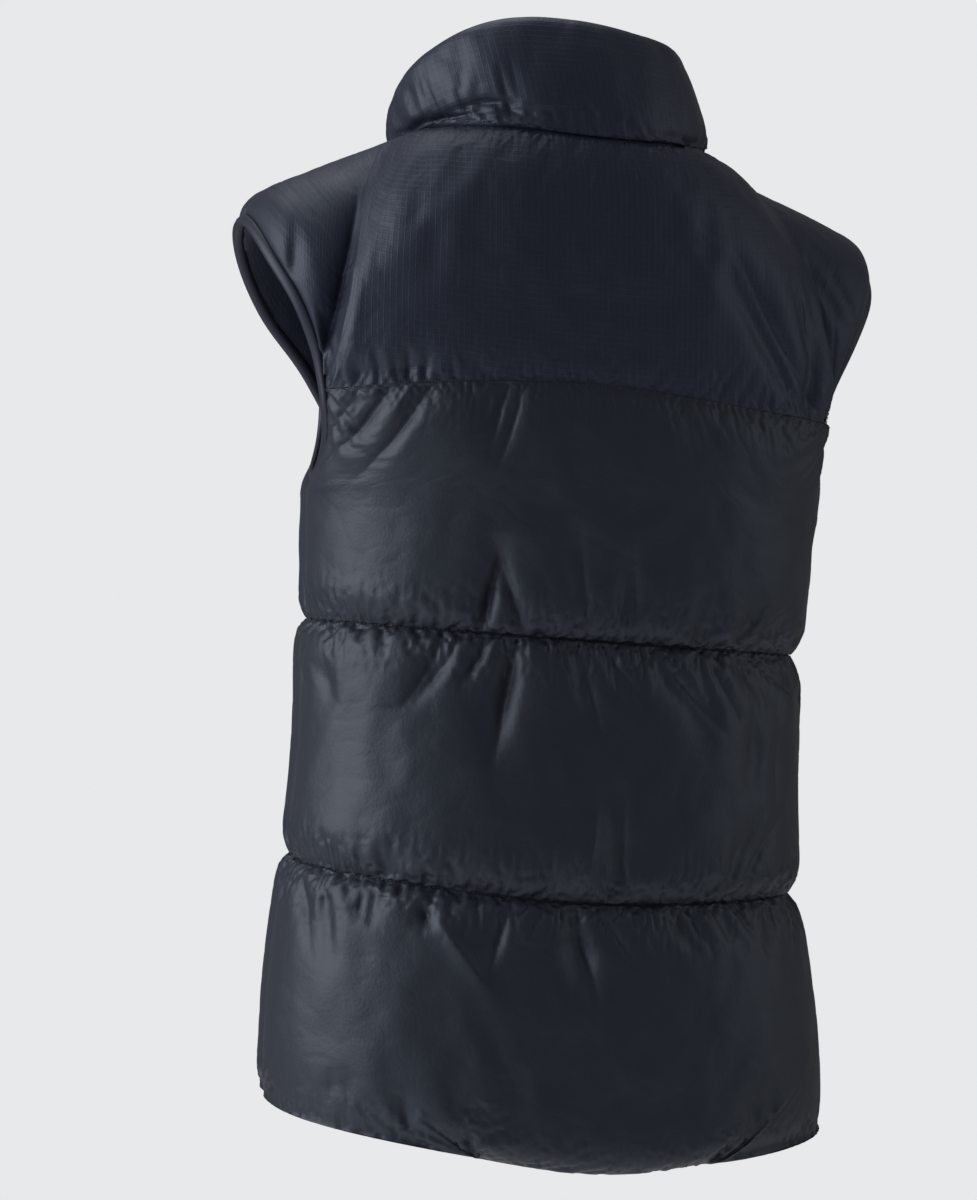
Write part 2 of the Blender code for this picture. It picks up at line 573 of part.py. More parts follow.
def add_yoke(name, side, material):
    """A yoke from the collar seam to the yoke seam and the armhole."""
    angle, share = yoke_grid(side)
    inner = yoke_wall(angle, share)
    # At a corner of the rim the normal is the yoke seam's own, taken just beside the corner.
    turn, beside = np.abs(angle), 0.0004 * np.sign(angle)
    beside = beside * (np.isclose(turn, FRONT_CORNER) * 1 - np.isclose(turn, BACK_CORNER) * 1)
    normals = mitred(outward(yoke_wall, angle + beside, share), angle, share)
    # Along a yoke seam it ends as thick as the panel and square to it, and thins towards the armhole.
    on_seam = (turn < BACK_CORNER + 1e-6) | (turn > FRONT_CORNER - 1e-6)
    below = outward(body_wall, angle, -seam_height(YOKE_SEAM, angle))
    square = (np.exp(-9 * (1 - share)) * on_seam)[..., None]
    normals = unit(normals * (1 - square) + below * square)
    along = lengths(inner[-1:], 1)[0][0]
    corners = along[np.isclose(turn[-1], FRONT_CORNER) | np.isclose(turn[-1], BACK_CORNER)]
    from_corner = np.abs(along[:, None] - corners).min(1)
    lift = (1 - flat_hold(YOKE_THICKNESS)) * (1 - ARMHOLE_HOLD * (1 - rise(from_corner, EDGE_PUFF_WIDTH)))
    ends = side_pinches(side, (0.45, EDGE_PUFF_WIDTH, 1), (0.9, EDGE_PUFF_WIDTH, 1))
    rim = (1 - lift * on_seam[-1], PUFF_WIDTH, 1 + on_seam[-1])
    height = padding(inner, [(1, NECK_PUFF_WIDTH, 2), rim] + ends)
    from_rim = lengths(inner, 0)[1]
    troughs = gathered(angle, from_rim) * on_seam
    if side == "back":
        depth = folded(inner + normals * YOKE_THICKNESS, normals, YOKE_FOLDS)
        troughs = troughs + depth * rise(from_rim, FLAT_REACH)
    outer = outer_wall(inner, normals, YOKE_THICKNESS, height, troughs)
    add_wall(name, inner, outer, material, YOKE_COARSE)
    return inner, normals


def add_collar(material):
    """The stand collar, with a rolled top edge."""
    angle, share = collar_grid()
    inner = collar_wall(angle, share)
    normals = mitred(outward(collar_wall, angle, share), angle, 1 - share)
    ends = [(0.9, EDGE_PUFF_WIDTH, 1)] * 2
    height = padding(inner, [(0.85, COLLAR_ROLL, 1), (1, COLLAR_PUFF_WIDTH, 2)] + ends)
    troughs = folded(inner + normals * COLLAR_THICKNESS, normals, COLLAR_FOLDS)
    add_wall("collar", inner, outer_wall(inner, normals, COLLAR_THICKNESS, height, troughs), material)


def add_binding(name, runs, material):
    """A narrow folded strip round an armhole, through points with their wall's normals.

    Its section has a flat back beside the panels' rims and a round front.
    """
    points, normals = (np.concatenate(parts) for parts in zip(*runs))
    tangent = unit(np.roll(points, -1, 0) - np.roll(points, 1, 0))
    normals = unit(normals - tangent * np.sum(normals * tangent, -1, keepdims=True))
    inward = np.cross(normals, tangent)
    inward *= np.sign(np.sum(inward * (points.mean(0) - points)))
    turns = np.radians(np.linspace(90, -90, 5))
    middle, half = SEAM_THICKNESS / 2, SEAM_THICKNESS / 2 + 0.0006
    rings = [points + inward * (BINDING_GAP + BINDING_WIDTH * np.cos(turn))
             + normals * (middle + half * np.sin(turn)) for turn in turns]
    return add_loft(name, np.swapaxes(rings, 0, 1), material, closed=True)


# ------------------------------------------------------------------ the zip
def add_tape(name, side, material):
    """One woven tape, from the hem to the collar's top, between centre front and a panel's edge."""
    shares = np.linspace(0, 1, 9)
    stretches = ((body_wall, np.linspace(-HEM[2] - 0.002, -YOKE_SEAM[2], 25)),
                 (yoke_wall, shares[::-1][1:]), (collar_wall, shares[::-1][1:-1]))
    rings = []
    for wall, downs in stretches:
        outer = zip_edge(wall, downs, ZIP_HALF_GAP - SEAM_GAP)
        inner = zip_edge(wall, downs, ZIP_HALF_GAP - SEAM_GAP - TAPE_WIDTH)
        for angle in (outer, inner):
            base = wall(side * angle, downs)
            rise_by = outward(wall, side * angle, downs) * TAPE_THICKNESS
            rings.append((base, base + rise_by))
    left = np.concatenate([np.stack(pair, 1) for pair in rings[0::2]])
    right = np.concatenate([np.stack(pair, 1) for pair in rings[1::2]])
    return add_loft(name, np.concatenate([left, right[:, ::-1]], axis=1), material)


def add_block(name, centre, size, bevel, material):
    """A block with rounded edges, its place in its object."""
    mesh = bpy.data.meshes.new(name)
    work = bmesh.new()
    bmesh.ops.create_cube(work, size=1.0)
    bmesh.ops.scale(work, vec=size, verts=work.verts)
    bmesh.ops.bevel(work, geom=work.edges[:], offset=bevel, segments=2, affect="EDGES")
    work.to_mesh(mesh)
    work.free()
    mesh.materials.append(material)
    piece = bpy.data.objects.new(name, mesh)
    piece.location = centre
    bpy.context.scene.collection.objects.link(piece)
    return piece


def add_slider(material):
    """The slider's body with two ears that hold the pull; returns the pull's hinge point."""
    across, out, tall = SLIDER_SIZE
    back = -NECK_BEHIND - NECK_BEFORE - TAPE_THICKNESS - SEAM_GAP
    front = back - out
    slider = add_block("zip_slider", (0, back - out / 2, SLIDER_HEIGHT), SLIDER_SIZE, 0.0008, material)
    hinge = (0.0, front - PULL_HINGE[0], SLIDER_HEIGHT + PULL_HINGE[1])
    for side in (-1, 1):
        place = (side * EAR_SIDE, front - EAR_SIZE[1] / 2 + 0.0004, hinge[2])
        ear = add_block(f"ear_{side}", place, (EAR_SIZE[0], EAR_SIZE[1] + 0.0008, EAR_SIZE[2]), 0.0004,
                        material)
        ear.hide_render = True
        ear.display_type = "WIRE"
        union = slider.modifiers.new(f"ear_{side}", "BOOLEAN")
        union.operation = "UNION"
        union.object = ear
    return hinge


def add_pull(hinge, material):
    """The pull tab: a narrow neck between the ears, then a wider grip, hanging from the hinge."""
    half_neck, half_grip = PULL_NECK / 2, PULL_WIDTH / 2
    shoulder, corner = 0.0050, 0.0016
    turns = np.radians(np.linspace(0, 90, 4))
    neck = [(half_neck * np.cos(turn), half_neck * np.sin(turn)) for turn in turns]
    low = [(half_grip - corner + corner * np.cos(turn), -PULL_LENGTH + corner - corner * np.sin(turn))
           for turn in turns]
    right = neck[::-1] + [(half_neck, -shoulder + 0.0014), (half_grip, -shoulder)] + low
    outline = right + [(-x, z) for x, z in right[::-1] if x > 1e-9]
    rings = np.array([[(hinge[0] + x, hinge[1] + y, hinge[2] + z) for x, z in outline]
                      for y in (-PULL_THICKNESS / 2, PULL_THICKNESS / 2)])
    return add_loft("zip_pull", rings, material)


# ------------------------------------------------------------------ putting the vest together
for thing in list(bpy.data.objects):
    bpy.data.objects.remove(thing, do_unlink=True)

ripstop = finish("ripstop nylon", (0.020, 0.023, 0.036), 0.42, sheen=0.3)
taffeta = finish("satin taffeta", (0.018, 0.022, 0.028), 0.34, sheen=0.2)
edging = finish("binding", (0.016, 0.018, 0.026), 0.5)
webbing = finish("zip tape", (0.012, 0.013, 0.018), 0.8)
lacquer = finish("black zip metal", (0.020, 0.020, 0.022), 0.35, metallic=1.0)

add_collar(ripstop)
yokes = {side: add_yoke(name, side, ripstop) for side, name in (
    ("back", "back_yoke"), ("left", "front_yoke_left"), ("right", "front_yoke_right"))}
uppers = {}
for side, stem in (("back", "back_panel"), ("left", "front_panel_left"), ("right", "front_panel_right")):
    uppers[side] = add_panel(f"{stem}_upper", YOKE_SEAM, UPPER_SEAM, side, UPPER_FOLDS, taffeta)
    add_panel(f"{stem}_middle", UPPER_SEAM, LOWER_SEAM, side, MIDDLE_FOLDS, taffeta)
    add_panel(f"{stem}_lower", LOWER_SEAM, HEM, side, LOWER_FOLDS, taffeta)

shoulder = slice(0, SHOULDER_COLUMNS + 1)
armhole = slice(0, ARMHOLE_ROWS + 1)
for side, flip in (("left", 1), ("right", -1)):
    # Each run goes on where the last one ends: back yoke, front yoke, front panel, back panel.
    runs = [tuple(part[-1, ::flip][-SHOULDER_COLUMNS - 1:][:-1] for part in yokes["back"]),
            tuple(part[-1, ::flip][shoulder][:-1] for part in yokes[side]),
            tuple(part[:, ::flip][armhole, 0][:-1] for part in uppers[side]),
            tuple(part[:, ::flip][armhole, -1][::-1][:-1] for part in uppers["back"])]
    add_binding(f"armhole_binding_{side}", runs, edging)

add_tape("zip_tape_left", 1, webbing)
add_tape("zip_tape_right", -1, webbing)
add_pull(add_slider(lacquer), lacquer)
hem_front = body_wall(np.array(np.pi), np.array(-HEM[2] - BOX_SIZE[2] / 2 - 0.002))
box_place = hem_front - (0, TAPE_THICKNESS + SEAM_GAP + BOX_SIZE[1] / 2, 0)
add_block("zip_box", box_place, BOX_SIZE, 0.0009, lacquer)
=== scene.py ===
"""The looks of a padded vest in its worn shape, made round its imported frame.

Metres, +Z up; the wearer faces -Y and the wearer's left is +X. The origin is the nape, on the inner
wall at the centre back of the collar seam. An angle goes round the body from centre back (0) towards
the wearer's left (+) or right (-), to centre front (180 degrees). "Down" is a depth below the nape on
the body, and a share from 0 to 1 on the yokes and the collar.
"""
import math
import bmesh
import bpy
import mathutils
import numpy as np
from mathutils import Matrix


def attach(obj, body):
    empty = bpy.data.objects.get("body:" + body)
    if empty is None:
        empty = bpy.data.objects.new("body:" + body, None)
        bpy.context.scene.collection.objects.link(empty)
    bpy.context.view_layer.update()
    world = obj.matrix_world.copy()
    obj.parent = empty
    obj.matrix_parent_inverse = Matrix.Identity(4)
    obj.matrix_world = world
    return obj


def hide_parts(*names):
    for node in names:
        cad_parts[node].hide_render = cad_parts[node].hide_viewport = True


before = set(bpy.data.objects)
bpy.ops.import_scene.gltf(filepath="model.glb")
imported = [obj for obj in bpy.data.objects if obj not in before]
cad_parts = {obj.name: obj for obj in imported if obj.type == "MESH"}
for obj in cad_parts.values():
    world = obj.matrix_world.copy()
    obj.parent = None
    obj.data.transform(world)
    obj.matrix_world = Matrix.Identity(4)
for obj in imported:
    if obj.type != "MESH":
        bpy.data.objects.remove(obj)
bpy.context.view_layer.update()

# ====================================================================== back panels
# Three padded panels of satin taffeta between the yoke seam and the dropped hem. Each is cut flat, wider
# than the quilting channels that hold it, so the cloth puckers at its seams and is smooth on its crown.
SHOULDER_TILT = 0.07                      # the right shoulder is carried lower: drop per metre across
SHOULDER_START, SHOULDER_SOFTNESS, SHOULDER_RAMP = 0.10, 0.03, (-0.27, -0.13)
LEFT_SHOULDER, RIGHT_SHOULDER = (0.0, -0.08), (0.165, 0.05)    # out and up, per metre past the start
SQUARENESS = 2.4                          # 2 is a plain oval, more is squarer
AXIS_Y = -0.104
SIDE_SEAM, BACK_CORNER, FRONT_CORNER = np.radians((97, 72, 122))
UNDERARM = -0.253
ZIP_HALF_GAP = 0.006
ASPECT = 1.27                             # a section is about this much wider than deep
SEAM_THICKNESS = 0.0042                   # padded wall where it is stitched down, in the middle, and least
CROWN_THICKNESS, THINNEST = 0.0235, 0.0020
PUFF_WIDTH, EDGE_PUFF_WIDTH = 0.039, 0.030
PUFF_SHAPE = 2.5                          # 2 is a quarter round, more is boxier
SEAM_GAP = 0.0003
TINY = 1e-9                               # keeps a divisor or a logarithm off zero

#    height, half_width, behind, before, lean
SECTIONS = np.array([
    (-0.760, 0.197, 0.121, 0.131, 0.002), (-0.640, 0.190, 0.117, 0.130, 0.004),
    (-0.550, 0.179, 0.110, 0.128, 0.004), (-0.450, 0.171, 0.104, 0.124, -0.001),
    (-0.360, 0.173, 0.102, 0.122, -0.004), (-0.300, 0.174, 0.104, 0.121, -0.008),
    (-0.255, 0.178, 0.107, 0.121, -0.008), (-0.230, 0.187, 0.110, 0.121, -0.005),
    (-0.200, 0.203, 0.112, 0.118, -0.003), (-0.160, 0.209, 0.110, 0.112, -0.001),
    (-0.100, 0.210, 0.104, 0.104, 0.000)])
BELOW_ARMS_HALF_WIDTH = SECTIONS[5, 1]    # in the row of height -0.300
#    centre back, side, centre front
YOKE_SEAM = (-0.176, -0.190, -0.186)
UPPER_SEAM = (-0.360, -0.358, -0.352)
LOWER_SEAM = (-0.551, -0.537, -0.531)
HEM = (-0.744, -0.713, -0.706)


def smooth(table, at):
    """Columns of a table at any value of its first column: cubic pieces with the rows' mean slopes."""
    key, columns = table[:, 0], table[:, 1:]
    slope = np.gradient(columns, key, axis=0)
    at = np.clip(at, key[0], key[-1])
    row = np.clip(np.searchsorted(key, at, side="right") - 1, 0, len(key) - 2)
    span = (key[row + 1] - key[row])[..., None]
    t = (at - key[row])[..., None] / span
    value = (1 + 2 * t) * (1 - t) ** 2 * columns[row] + t * (1 - t) ** 2 * span * slope[row]
    value = value + t * t * (3 - 2 * t) * columns[row + 1] - t * t * (1 - t) * span * slope[row + 1]
    return np.moveaxis(value, -1, 0)


def seam_height(seam, angle):
    """Height of a seam: the parabola in (1 - cos angle) / 2 through its three values."""
    back, side, front = seam
    way = (1 - np.cos(angle)) / 2
    return back * (1 - way) * (1 - 2 * way) + side * 4 * way * (1 - way) + front * way * (2 * way - 1)


def unit(vector):
    """vector / |vector|"""
    return vector / np.linalg.norm(vector, axis=-1, keepdims=True)


def oval(angle, half_width, behind, before):
    """Radius (|sin a / half width|^n + |cos a / depth|^n)^(-1/n) of a squared oval."""
    depth = np.where(np.cos(angle) > 0, behind, before)
    powers = np.abs(np.sin(angle) / half_width) ** SQUARENESS
    return (powers + np.abs(np.cos(angle) / depth) ** SQUARENESS) ** (-1 / SQUARENESS)


def body_wall(angle, down):
    """Inner wall below the yokes: the oval of the section at that depth, about the body's axis."""
    half_width, behind, before, lean = smooth(SECTIONS, -down)
    radius = oval(angle, half_width, behind, before)
    return np.stack([lean + radius * np.sin(angle), AXIS_Y + radius * np.cos(angle), -down], -1)


def outward(wall, angle, down):
    """Unit normal of a wall: the cross product of its two central differences."""
    step = 1e-4
    along = wall(angle + step, down) - wall(angle - step, down)
    return unit(np.cross(along, wall(angle, down + step) - wall(angle, down - step)))


def posed(points):
    """Points of a level, even body in the wearer's pose: above the ramp each shoulder moves out and up by
    its own factors times past^2 / (past + softness), where past = |x| - start; then z gains tilt * x."""
    x, y, z = np.moveaxis(points, -1, 0)
    ramp = np.clip((z - SHOULDER_RAMP[0]) / (SHOULDER_RAMP[1] - SHOULDER_RAMP[0]), 0, 1)
    past = np.maximum(np.abs(x) - SHOULDER_START, 0)
    past = past ** 2 / (past + SHOULDER_SOFTNESS) * ramp ** 2 * (3 - 2 * ramp)
    out, up = (np.where(x < 0, *pair) for pair in zip(RIGHT_SHOULDER, LEFT_SHOULDER))
    x = x + np.sign(x) * out * past
    return np.stack([x, y, z + SHOULDER_TILT * x + up * past], -1)


def even_angles(first, last, columns):
    """Angles atan2(aspect sin t, cos t) of even steps in t, which lie about evenly along a section."""
    turns = np.arctan2(np.sin((first, last)) / ASPECT, np.cos((first, last)))
    turn = np.linspace(turns[0], turns[1], columns + 1)
    return np.arctan2(ASPECT * np.sin(turn), np.cos(turn))


def zip_edge(wall, down):
    """Angle at which a wall lies half the zip's gap to the side of centre front, to the first order."""
    back_step = 0.04
    angle = np.full(np.shape(down), np.pi)
    across = wall(angle - back_step, down)[..., 0] - wall(angle, down)[..., 0]
    return np.pi - ZIP_HALF_GAP / across * back_step


def armhole_turn(height, corner):
    """Angle of the armhole below the yokes: side + (corner - side) sqrt(1 - depth^2)."""
    top = seam_height(YOKE_SEAM, corner)
    depth = np.clip((top - height) / (top - UNDERARM), 0, 1)
    return SIDE_SEAM + (corner - SIDE_SEAM) * np.sqrt(1 - depth ** 2)


def lengths(grid, axis):
    """Distance of each point from the first and the last line of its grid along an axis."""
    steps = np.linalg.norm(np.diff(grid, axis=axis), axis=-1)
    start = np.concatenate([np.zeros_like(np.take(steps, [0], axis)), np.cumsum(steps, axis)], axis)
    return start, np.take(start, [-1], axis) - start


def rim_distance(grid):
    """Distance of each point from the nearest of its grid's four edges, along the grid's own lines."""
    return np.minimum(np.minimum(*lengths(grid, 0)), np.minimum(*lengths(grid, 1)))


def cell_size(grid):
    """Median distance between neighbouring points of a grid, down and across."""
    return [np.median(np.linalg.norm(np.diff(grid, axis=axis), axis=-1)) for axis in (0, 1)]


def quarter_rise(distance, width):
    """The padding's rise at a distance from an edge: (1 - (1 - distance / width)^p)^(1/p)."""
    return (1 - (1 - np.clip(distance / width, 0, 1)) ** PUFF_SHAPE) ** (1 / PUFF_SHAPE)


def padding(grid, pinches):
    """Height of the padding, from 0 to 1: a product over the four edges of 1 - hold (1 - rise^slowness)."""
    height = np.ones(grid.shape[:2])
    for distance, (hold, width, slowness) in zip(lengths(grid, 0) + lengths(grid, 1), pinches):
        height = height * (1 - hold * (1 - quarter_rise(distance, width) ** slowness))
    return height


CELL = 0.0037                             # the cloth's cells before they are halved
OUTLINE_STEPS = 800


def even_shares(length, crown, top_width, bottom_width, cells=None):
    """Shares of a length at even steps along the padded outline that rises from both of its ends: as many
    steps as there are cells, or else one for each cell's length."""
    share = np.linspace(0, 1, OUTLINE_STEPS + 1)
    top_rise = quarter_rise(share * length, top_width)
    bottom_rise = quarter_rise((1 - share) * length, bottom_width)
    steps = np.hypot(np.diff(share) * length, np.diff(crown * top_rise * bottom_rise))
    outline = np.concatenate([[0], np.cumsum(steps)])
    cells = cells or round(outline[-1] / CELL)
    return np.interp(np.linspace(0, outline[-1], cells + 1), outline, share)


ARMHOLE_REACH, ARMHOLE_STEPS = 0.2, 2000  # of the table of heights that is inverted for the rows' ends


def panel_grid(top, bottom, side, shares, columns):
    """Angles and depths of a body panel, one row to each share of the way from seam to seam. The outer
    end of an upper panel's rows follows the armhole, whose height comes from its inverted table."""
    trim = SEAM_GAP / 2 / BELOW_ARMS_HALF_WIDTH
    outer = np.full(shares.shape, SIDE_SEAM)
    if top is YOKE_SEAM:
        corner = BACK_CORNER if side == "back" else FRONT_CORNER
        height = seam_height(top, corner) + np.linspace(0, -ARMHOLE_REACH, ARMHOLE_STEPS + 1)
        turn = armhole_turn(height, corner)
        start, end = seam_height(top, turn), seam_height(bottom, turn)
        outer = armhole_turn(np.interp(shares, (start - height) / (start - end), height), corner)
    if side == "back":
        angle = np.array([even_angles(trim - turn, turn - trim, columns) for turn in outer])
    else:
        front = seam_height(top, np.pi) * (1 - shares) + seam_height(bottom, np.pi) * shares
        angle = np.array([even_angles(turn + trim, end, columns)
                          for turn, end in zip(outer, zip_edge(body_wall, -front))])
    share = shares[:, None]
    down = -seam_height(top, angle) * (1 - share) - seam_height(bottom, angle) * share
    down[0] += SEAM_GAP / 2
    down[-1] -= SEAM_GAP / 2
    return (-angle[:, ::-1], down[:, ::-1]) if side == "right" else (angle, down)


def grid_faces(rows, columns):
    """Quads of a grid of points that are numbered row by row."""
    at = np.arange(rows * columns).reshape(rows, columns)
    return np.stack([at[:-1, :-1], at[1:, :-1], at[1:, 1:], at[:-1, 1:]], -1).reshape(-1, 4)


# The back's largest folds on a flat drawing, turned to the wearer's left: both ends as left of the axis
# and below the nape, then the half width and the depth. A ridge has a depth below zero.
DRAWING_TURN = np.radians(17)
UPPER_FOLDS = (
    (0.132, 0.181, 0.153, 0.212, 0.006, 0.005), (0.110, 0.177, 0.146, 0.226, 0.007, 0.006),
    (0.085, 0.181, 0.121, 0.230, 0.007, 0.005), (0.031, 0.177, 0.042, 0.215, 0.006, 0.004),
    (0.020, 0.180, 0.034, 0.222, 0.005, 0.003), (0.036, 0.302, 0.049, 0.352, 0.007, 0.008),
    (0.035, 0.302, 0.018, 0.356, 0.006, 0.006), (-0.019, 0.291, -0.024, 0.352, 0.008, 0.004),
    (-0.056, 0.300, -0.059, 0.352, 0.008, 0.004), (-0.113, 0.330, -0.113, 0.365, 0.006, 0.005),
    (-0.160, 0.338, -0.142, 0.359, 0.006, 0.005))
MIDDLE_FOLDS = (
    (0.169, 0.374, 0.158, 0.402, 0.006, 0.005), (0.078, 0.366, 0.096, 0.402, 0.006, 0.005),
    (0.067, 0.366, 0.085, 0.395, 0.005, 0.004), (0.045, 0.363, 0.060, 0.388, 0.006, 0.005),
    (0.024, 0.363, 0.038, 0.431, 0.010, 0.009), (-0.019, 0.366, -0.030, 0.417, 0.007, 0.005),
    (-0.037, 0.363, -0.059, 0.402, 0.006, 0.004), (-0.073, 0.370, -0.109, 0.417, 0.007, 0.005),
    (-0.109, 0.370, -0.124, 0.410, 0.006, 0.005), (-0.142, 0.374, -0.171, 0.402, 0.010, 0.009),
    (-0.156, 0.417, -0.153, 0.474, 0.009, 0.005), (0.114, 0.515, 0.112, 0.538, 0.006, 0.006),
    (-0.019, 0.546, -0.027, 0.496, 0.007, -0.004), (-0.048, 0.482, -0.050, 0.546, 0.007, 0.005),
    (-0.135, 0.532, -0.153, 0.496, 0.007, 0.005))
LOWER_FOLDS = (
    (0.186, 0.532, 0.175, 0.561, 0.007, 0.005), (0.164, 0.539, 0.157, 0.582, 0.006, 0.005),
    (0.125, 0.539, 0.128, 0.561, 0.006, 0.005), (0.088, 0.550, 0.085, 0.562, 0.005, 0.006),
    (0.081, 0.557, 0.049, 0.604, 0.006, -0.003), (0.031, 0.554, 0.042, 0.590, 0.006, 0.005),
    (-0.016, 0.554, -0.027, 0.604, 0.010, 0.008), (-0.037, 0.561, -0.052, 0.590, 0.006, 0.004),
    (-0.091, 0.550, -0.106, 0.582, 0.007, 0.005), (-0.124, 0.550, -0.142, 0.582, 0.007, 0.005),
    (-0.171, 0.546, -0.167, 0.590, 0.007, 0.006), (0.146, 0.690, 0.144, 0.672, 0.006, 0.004),
    (0.099, 0.715, 0.101, 0.690, 0.006, 0.004), (-0.153, 0.715, -0.150, 0.690, 0.006, 0.004))
FACES_DRAWING = 0.05                      # least cosine between a normal and the way to the drawing
FADE_START, FADE_RATE = 1.15, 1.3         # a fold's depth along it, from its middle (0) to its ends (0.5)
FOLD_SHARPNESS, FIRM_WIDTH = 1.6, 1.8


def folded(points, normals, folds, sharp=False):
    """Depth of the folds at posed points, and their shares of the filling's firm hold: exp(-beyond^2)
    where beyond = |beside / half width|, or a sharp exp(-sharpness beyond), fading at both of its ends."""
    side, back = np.cos(DRAWING_TURN), np.sin(DRAWING_TURN)
    x, y, z = np.moveaxis(points, -1, 0)
    left, down = x * side - (y - AXIS_Y) * back, -z
    faces_drawing = normals[..., 0] * back + normals[..., 1] * side > FACES_DRAWING
    depth, firm = np.zeros(left.shape), np.zeros(left.shape)
    for start_left, start_down, end_left, end_down, half_width, deepest in folds:
        run = np.array((end_left - start_left, end_down - start_down))
        length = np.hypot(*run)
        along = ((left - start_left) * run[0] + (down - start_down) * run[1]) / length ** 2 - 0.5
        beside = ((left - start_left) * run[1] - (down - start_down) * run[0]) / length
        fade = np.clip(FADE_START - FADE_RATE * np.abs(along), 0, 1) * faces_drawing
        beyond = np.abs(beside / half_width)
        depth += deepest * fade * np.exp(-FOLD_SHARPNESS * beyond if sharp else -beyond ** 2)
        firm = np.maximum(firm, fade * np.exp(-(beyond / FIRM_WIDTH) ** 2))
    return depth, firm


FIELD_BAND, FIELD_STRETCH = 0.7, 1.8


def uneven(shape, cells, wave, seed, stretch=FIELD_STRETCH):
    """A smooth random field of about one wavelength across, and of stretch times that length down:
    white noise, its spectrum times exp(-(log(frequency wave) / band)^2)."""
    rng = np.random.default_rng(seed)
    spectrum = np.fft.rfft2(rng.normal(size=shape))
    across = np.fft.rfftfreq(shape[1], cells[1])[None]
    frequency = np.hypot(across, stretch * np.fft.fftfreq(shape[0], cells[0])[:, None])
    band = np.exp(-(np.log(np.maximum(frequency, TINY) * wave) / FIELD_BAND) ** 2)
    field = np.fft.irfft2(spectrum * band, s=shape)
    return field / field.std()


CLOTH_FRAMES, SEWING_FRAMES = 30, 8


def filled(worn, cut, hold, eased, looseness):
    """Cloth simulation of one padded piece. The cloth starts as it is cut, in a smooth wide shape round
    the body, is drawn into its seams in the first frames, and settles with too much cloth there. The
    filling holds each point to its place in the worn shape: 0 is free and 1 is fixed, as at a seam.
    Where eased is 1 the cloth is longer by the looseness, each way."""
    mesh = bpy.data.meshes.new("cloth")
    mesh.from_pydata(cut.reshape(-1, 3).tolist(), [], grid_faces(*worn.shape[:2]).tolist())
    cloth = bpy.data.objects.new("cloth", mesh)
    bpy.context.scene.collection.objects.link(cloth)
    cloth.shape_key_add(name="cut")
    sewn = cloth.shape_key_add(name="worn")
    sewn.data.foreach_set("co", worn.reshape(-1))
    for name, weights in (("held", hold), ("eased", eased)):
        group = cloth.vertex_groups.new(name=name)
        levels = np.round(weights.reshape(-1), 2)
        for level in np.unique(levels):
            group.add(np.flatnonzero(levels == level).tolist(), float(level), "REPLACE")
    modifier = cloth.modifiers.new("cloth", "CLOTH")
    settings = modifier.settings
    settings.quality = 5
    settings.mass = 0.1
    settings.tension_stiffness = settings.compression_stiffness = 20
    settings.shear_stiffness = 5
    settings.bending_stiffness = 1.5
    settings.air_damping = 3
    settings.vertex_group_mass, settings.vertex_group_shrink = "held", "eased"
    settings.shrink_min, settings.shrink_max = 0.0, -looseness
    settings.pin_stiffness = 1.0
    settings.effector_weights.gravity = 0
    modifier.collision_settings.use_collision = False
    modifier.point_cache.frame_end = CLOTH_FRAMES
    for value, at_frame in ((0.0, 1), (1.0, 1 + SEWING_FRAMES)):
        sewn.value = value
        sewn.keyframe_insert("value", frame=at_frame)
    for at_frame in range(1, CLOTH_FRAMES + 1):
        bpy.context.scene.frame_set(at_frame)
    settled = np.empty(worn.size)
    shown = cloth.evaluated_get(bpy.context.evaluated_depsgraph_get())
    shown.data.vertices.foreach_get("co", settled)
    bpy.data.objects.remove(cloth)
    bpy.data.meshes.remove(mesh)
    bpy.context.scene.frame_set(1)
    return settled.reshape(worn.shape)


def signed_lengths(grid, axis):
    """Distance of each point from the middle line of its grid along an axis, below zero before it."""
    start, _ = lengths(grid, axis)
    return start - np.take(start, [start.shape[axis] // 2], axis)


def cut_shape(offset, worn):
    """The cloth as cut, laid round the wall at full thickness and drawn out along its columns until they
    are as long as the worn outline."""
    longer = signed_lengths(worn, 0) - signed_lengths(offset, 0)
    return offset + unit(np.gradient(offset, axis=0)) * longer[..., None]


def refined(grid):
    """Twice as many cells each way: a new point is (9, 9, -1, -1) / 16 of its near and far neighbours."""
    for _ in range(2):
        longer = np.concatenate([2 * grid[:1] - grid[1:2], grid, 2 * grid[-1:] - grid[-2:-1]])
        finer = np.empty((2 * len(grid) - 1, *grid.shape[1:]))
        finer[0::2] = grid
        finer[1::2] = (9 * (longer[1:-2] + longer[2:-1]) - longer[:-3] - longer[3:]) / 16
        grid = np.swapaxes(finer, 0, 1)
    return grid


RIM_FADE = 0.0025
FOLD_PRESS = 0.75                         # share of a fold's depth that is pressed in once more
GATHER_DEPTH, GATHER_WAVE, GATHER_STRETCH, GATHER_SEEDS = 0.0032, 0.014, 5, 100
CREASE_DEPTH, CREASE_WAVE, CREASE_STRETCH, CREASE_SEEDS = 0.00025, 0.060, 0.8, 200


def creased(shape, cells, wave, seed, stretch):
    """Sharp lines where a random field crosses zero: (1 - |field|)^3, and 0 where |field| > 1."""
    return np.clip(1 - np.abs(uneven(shape, cells, wave, seed, stretch)), 0, 1) ** 3


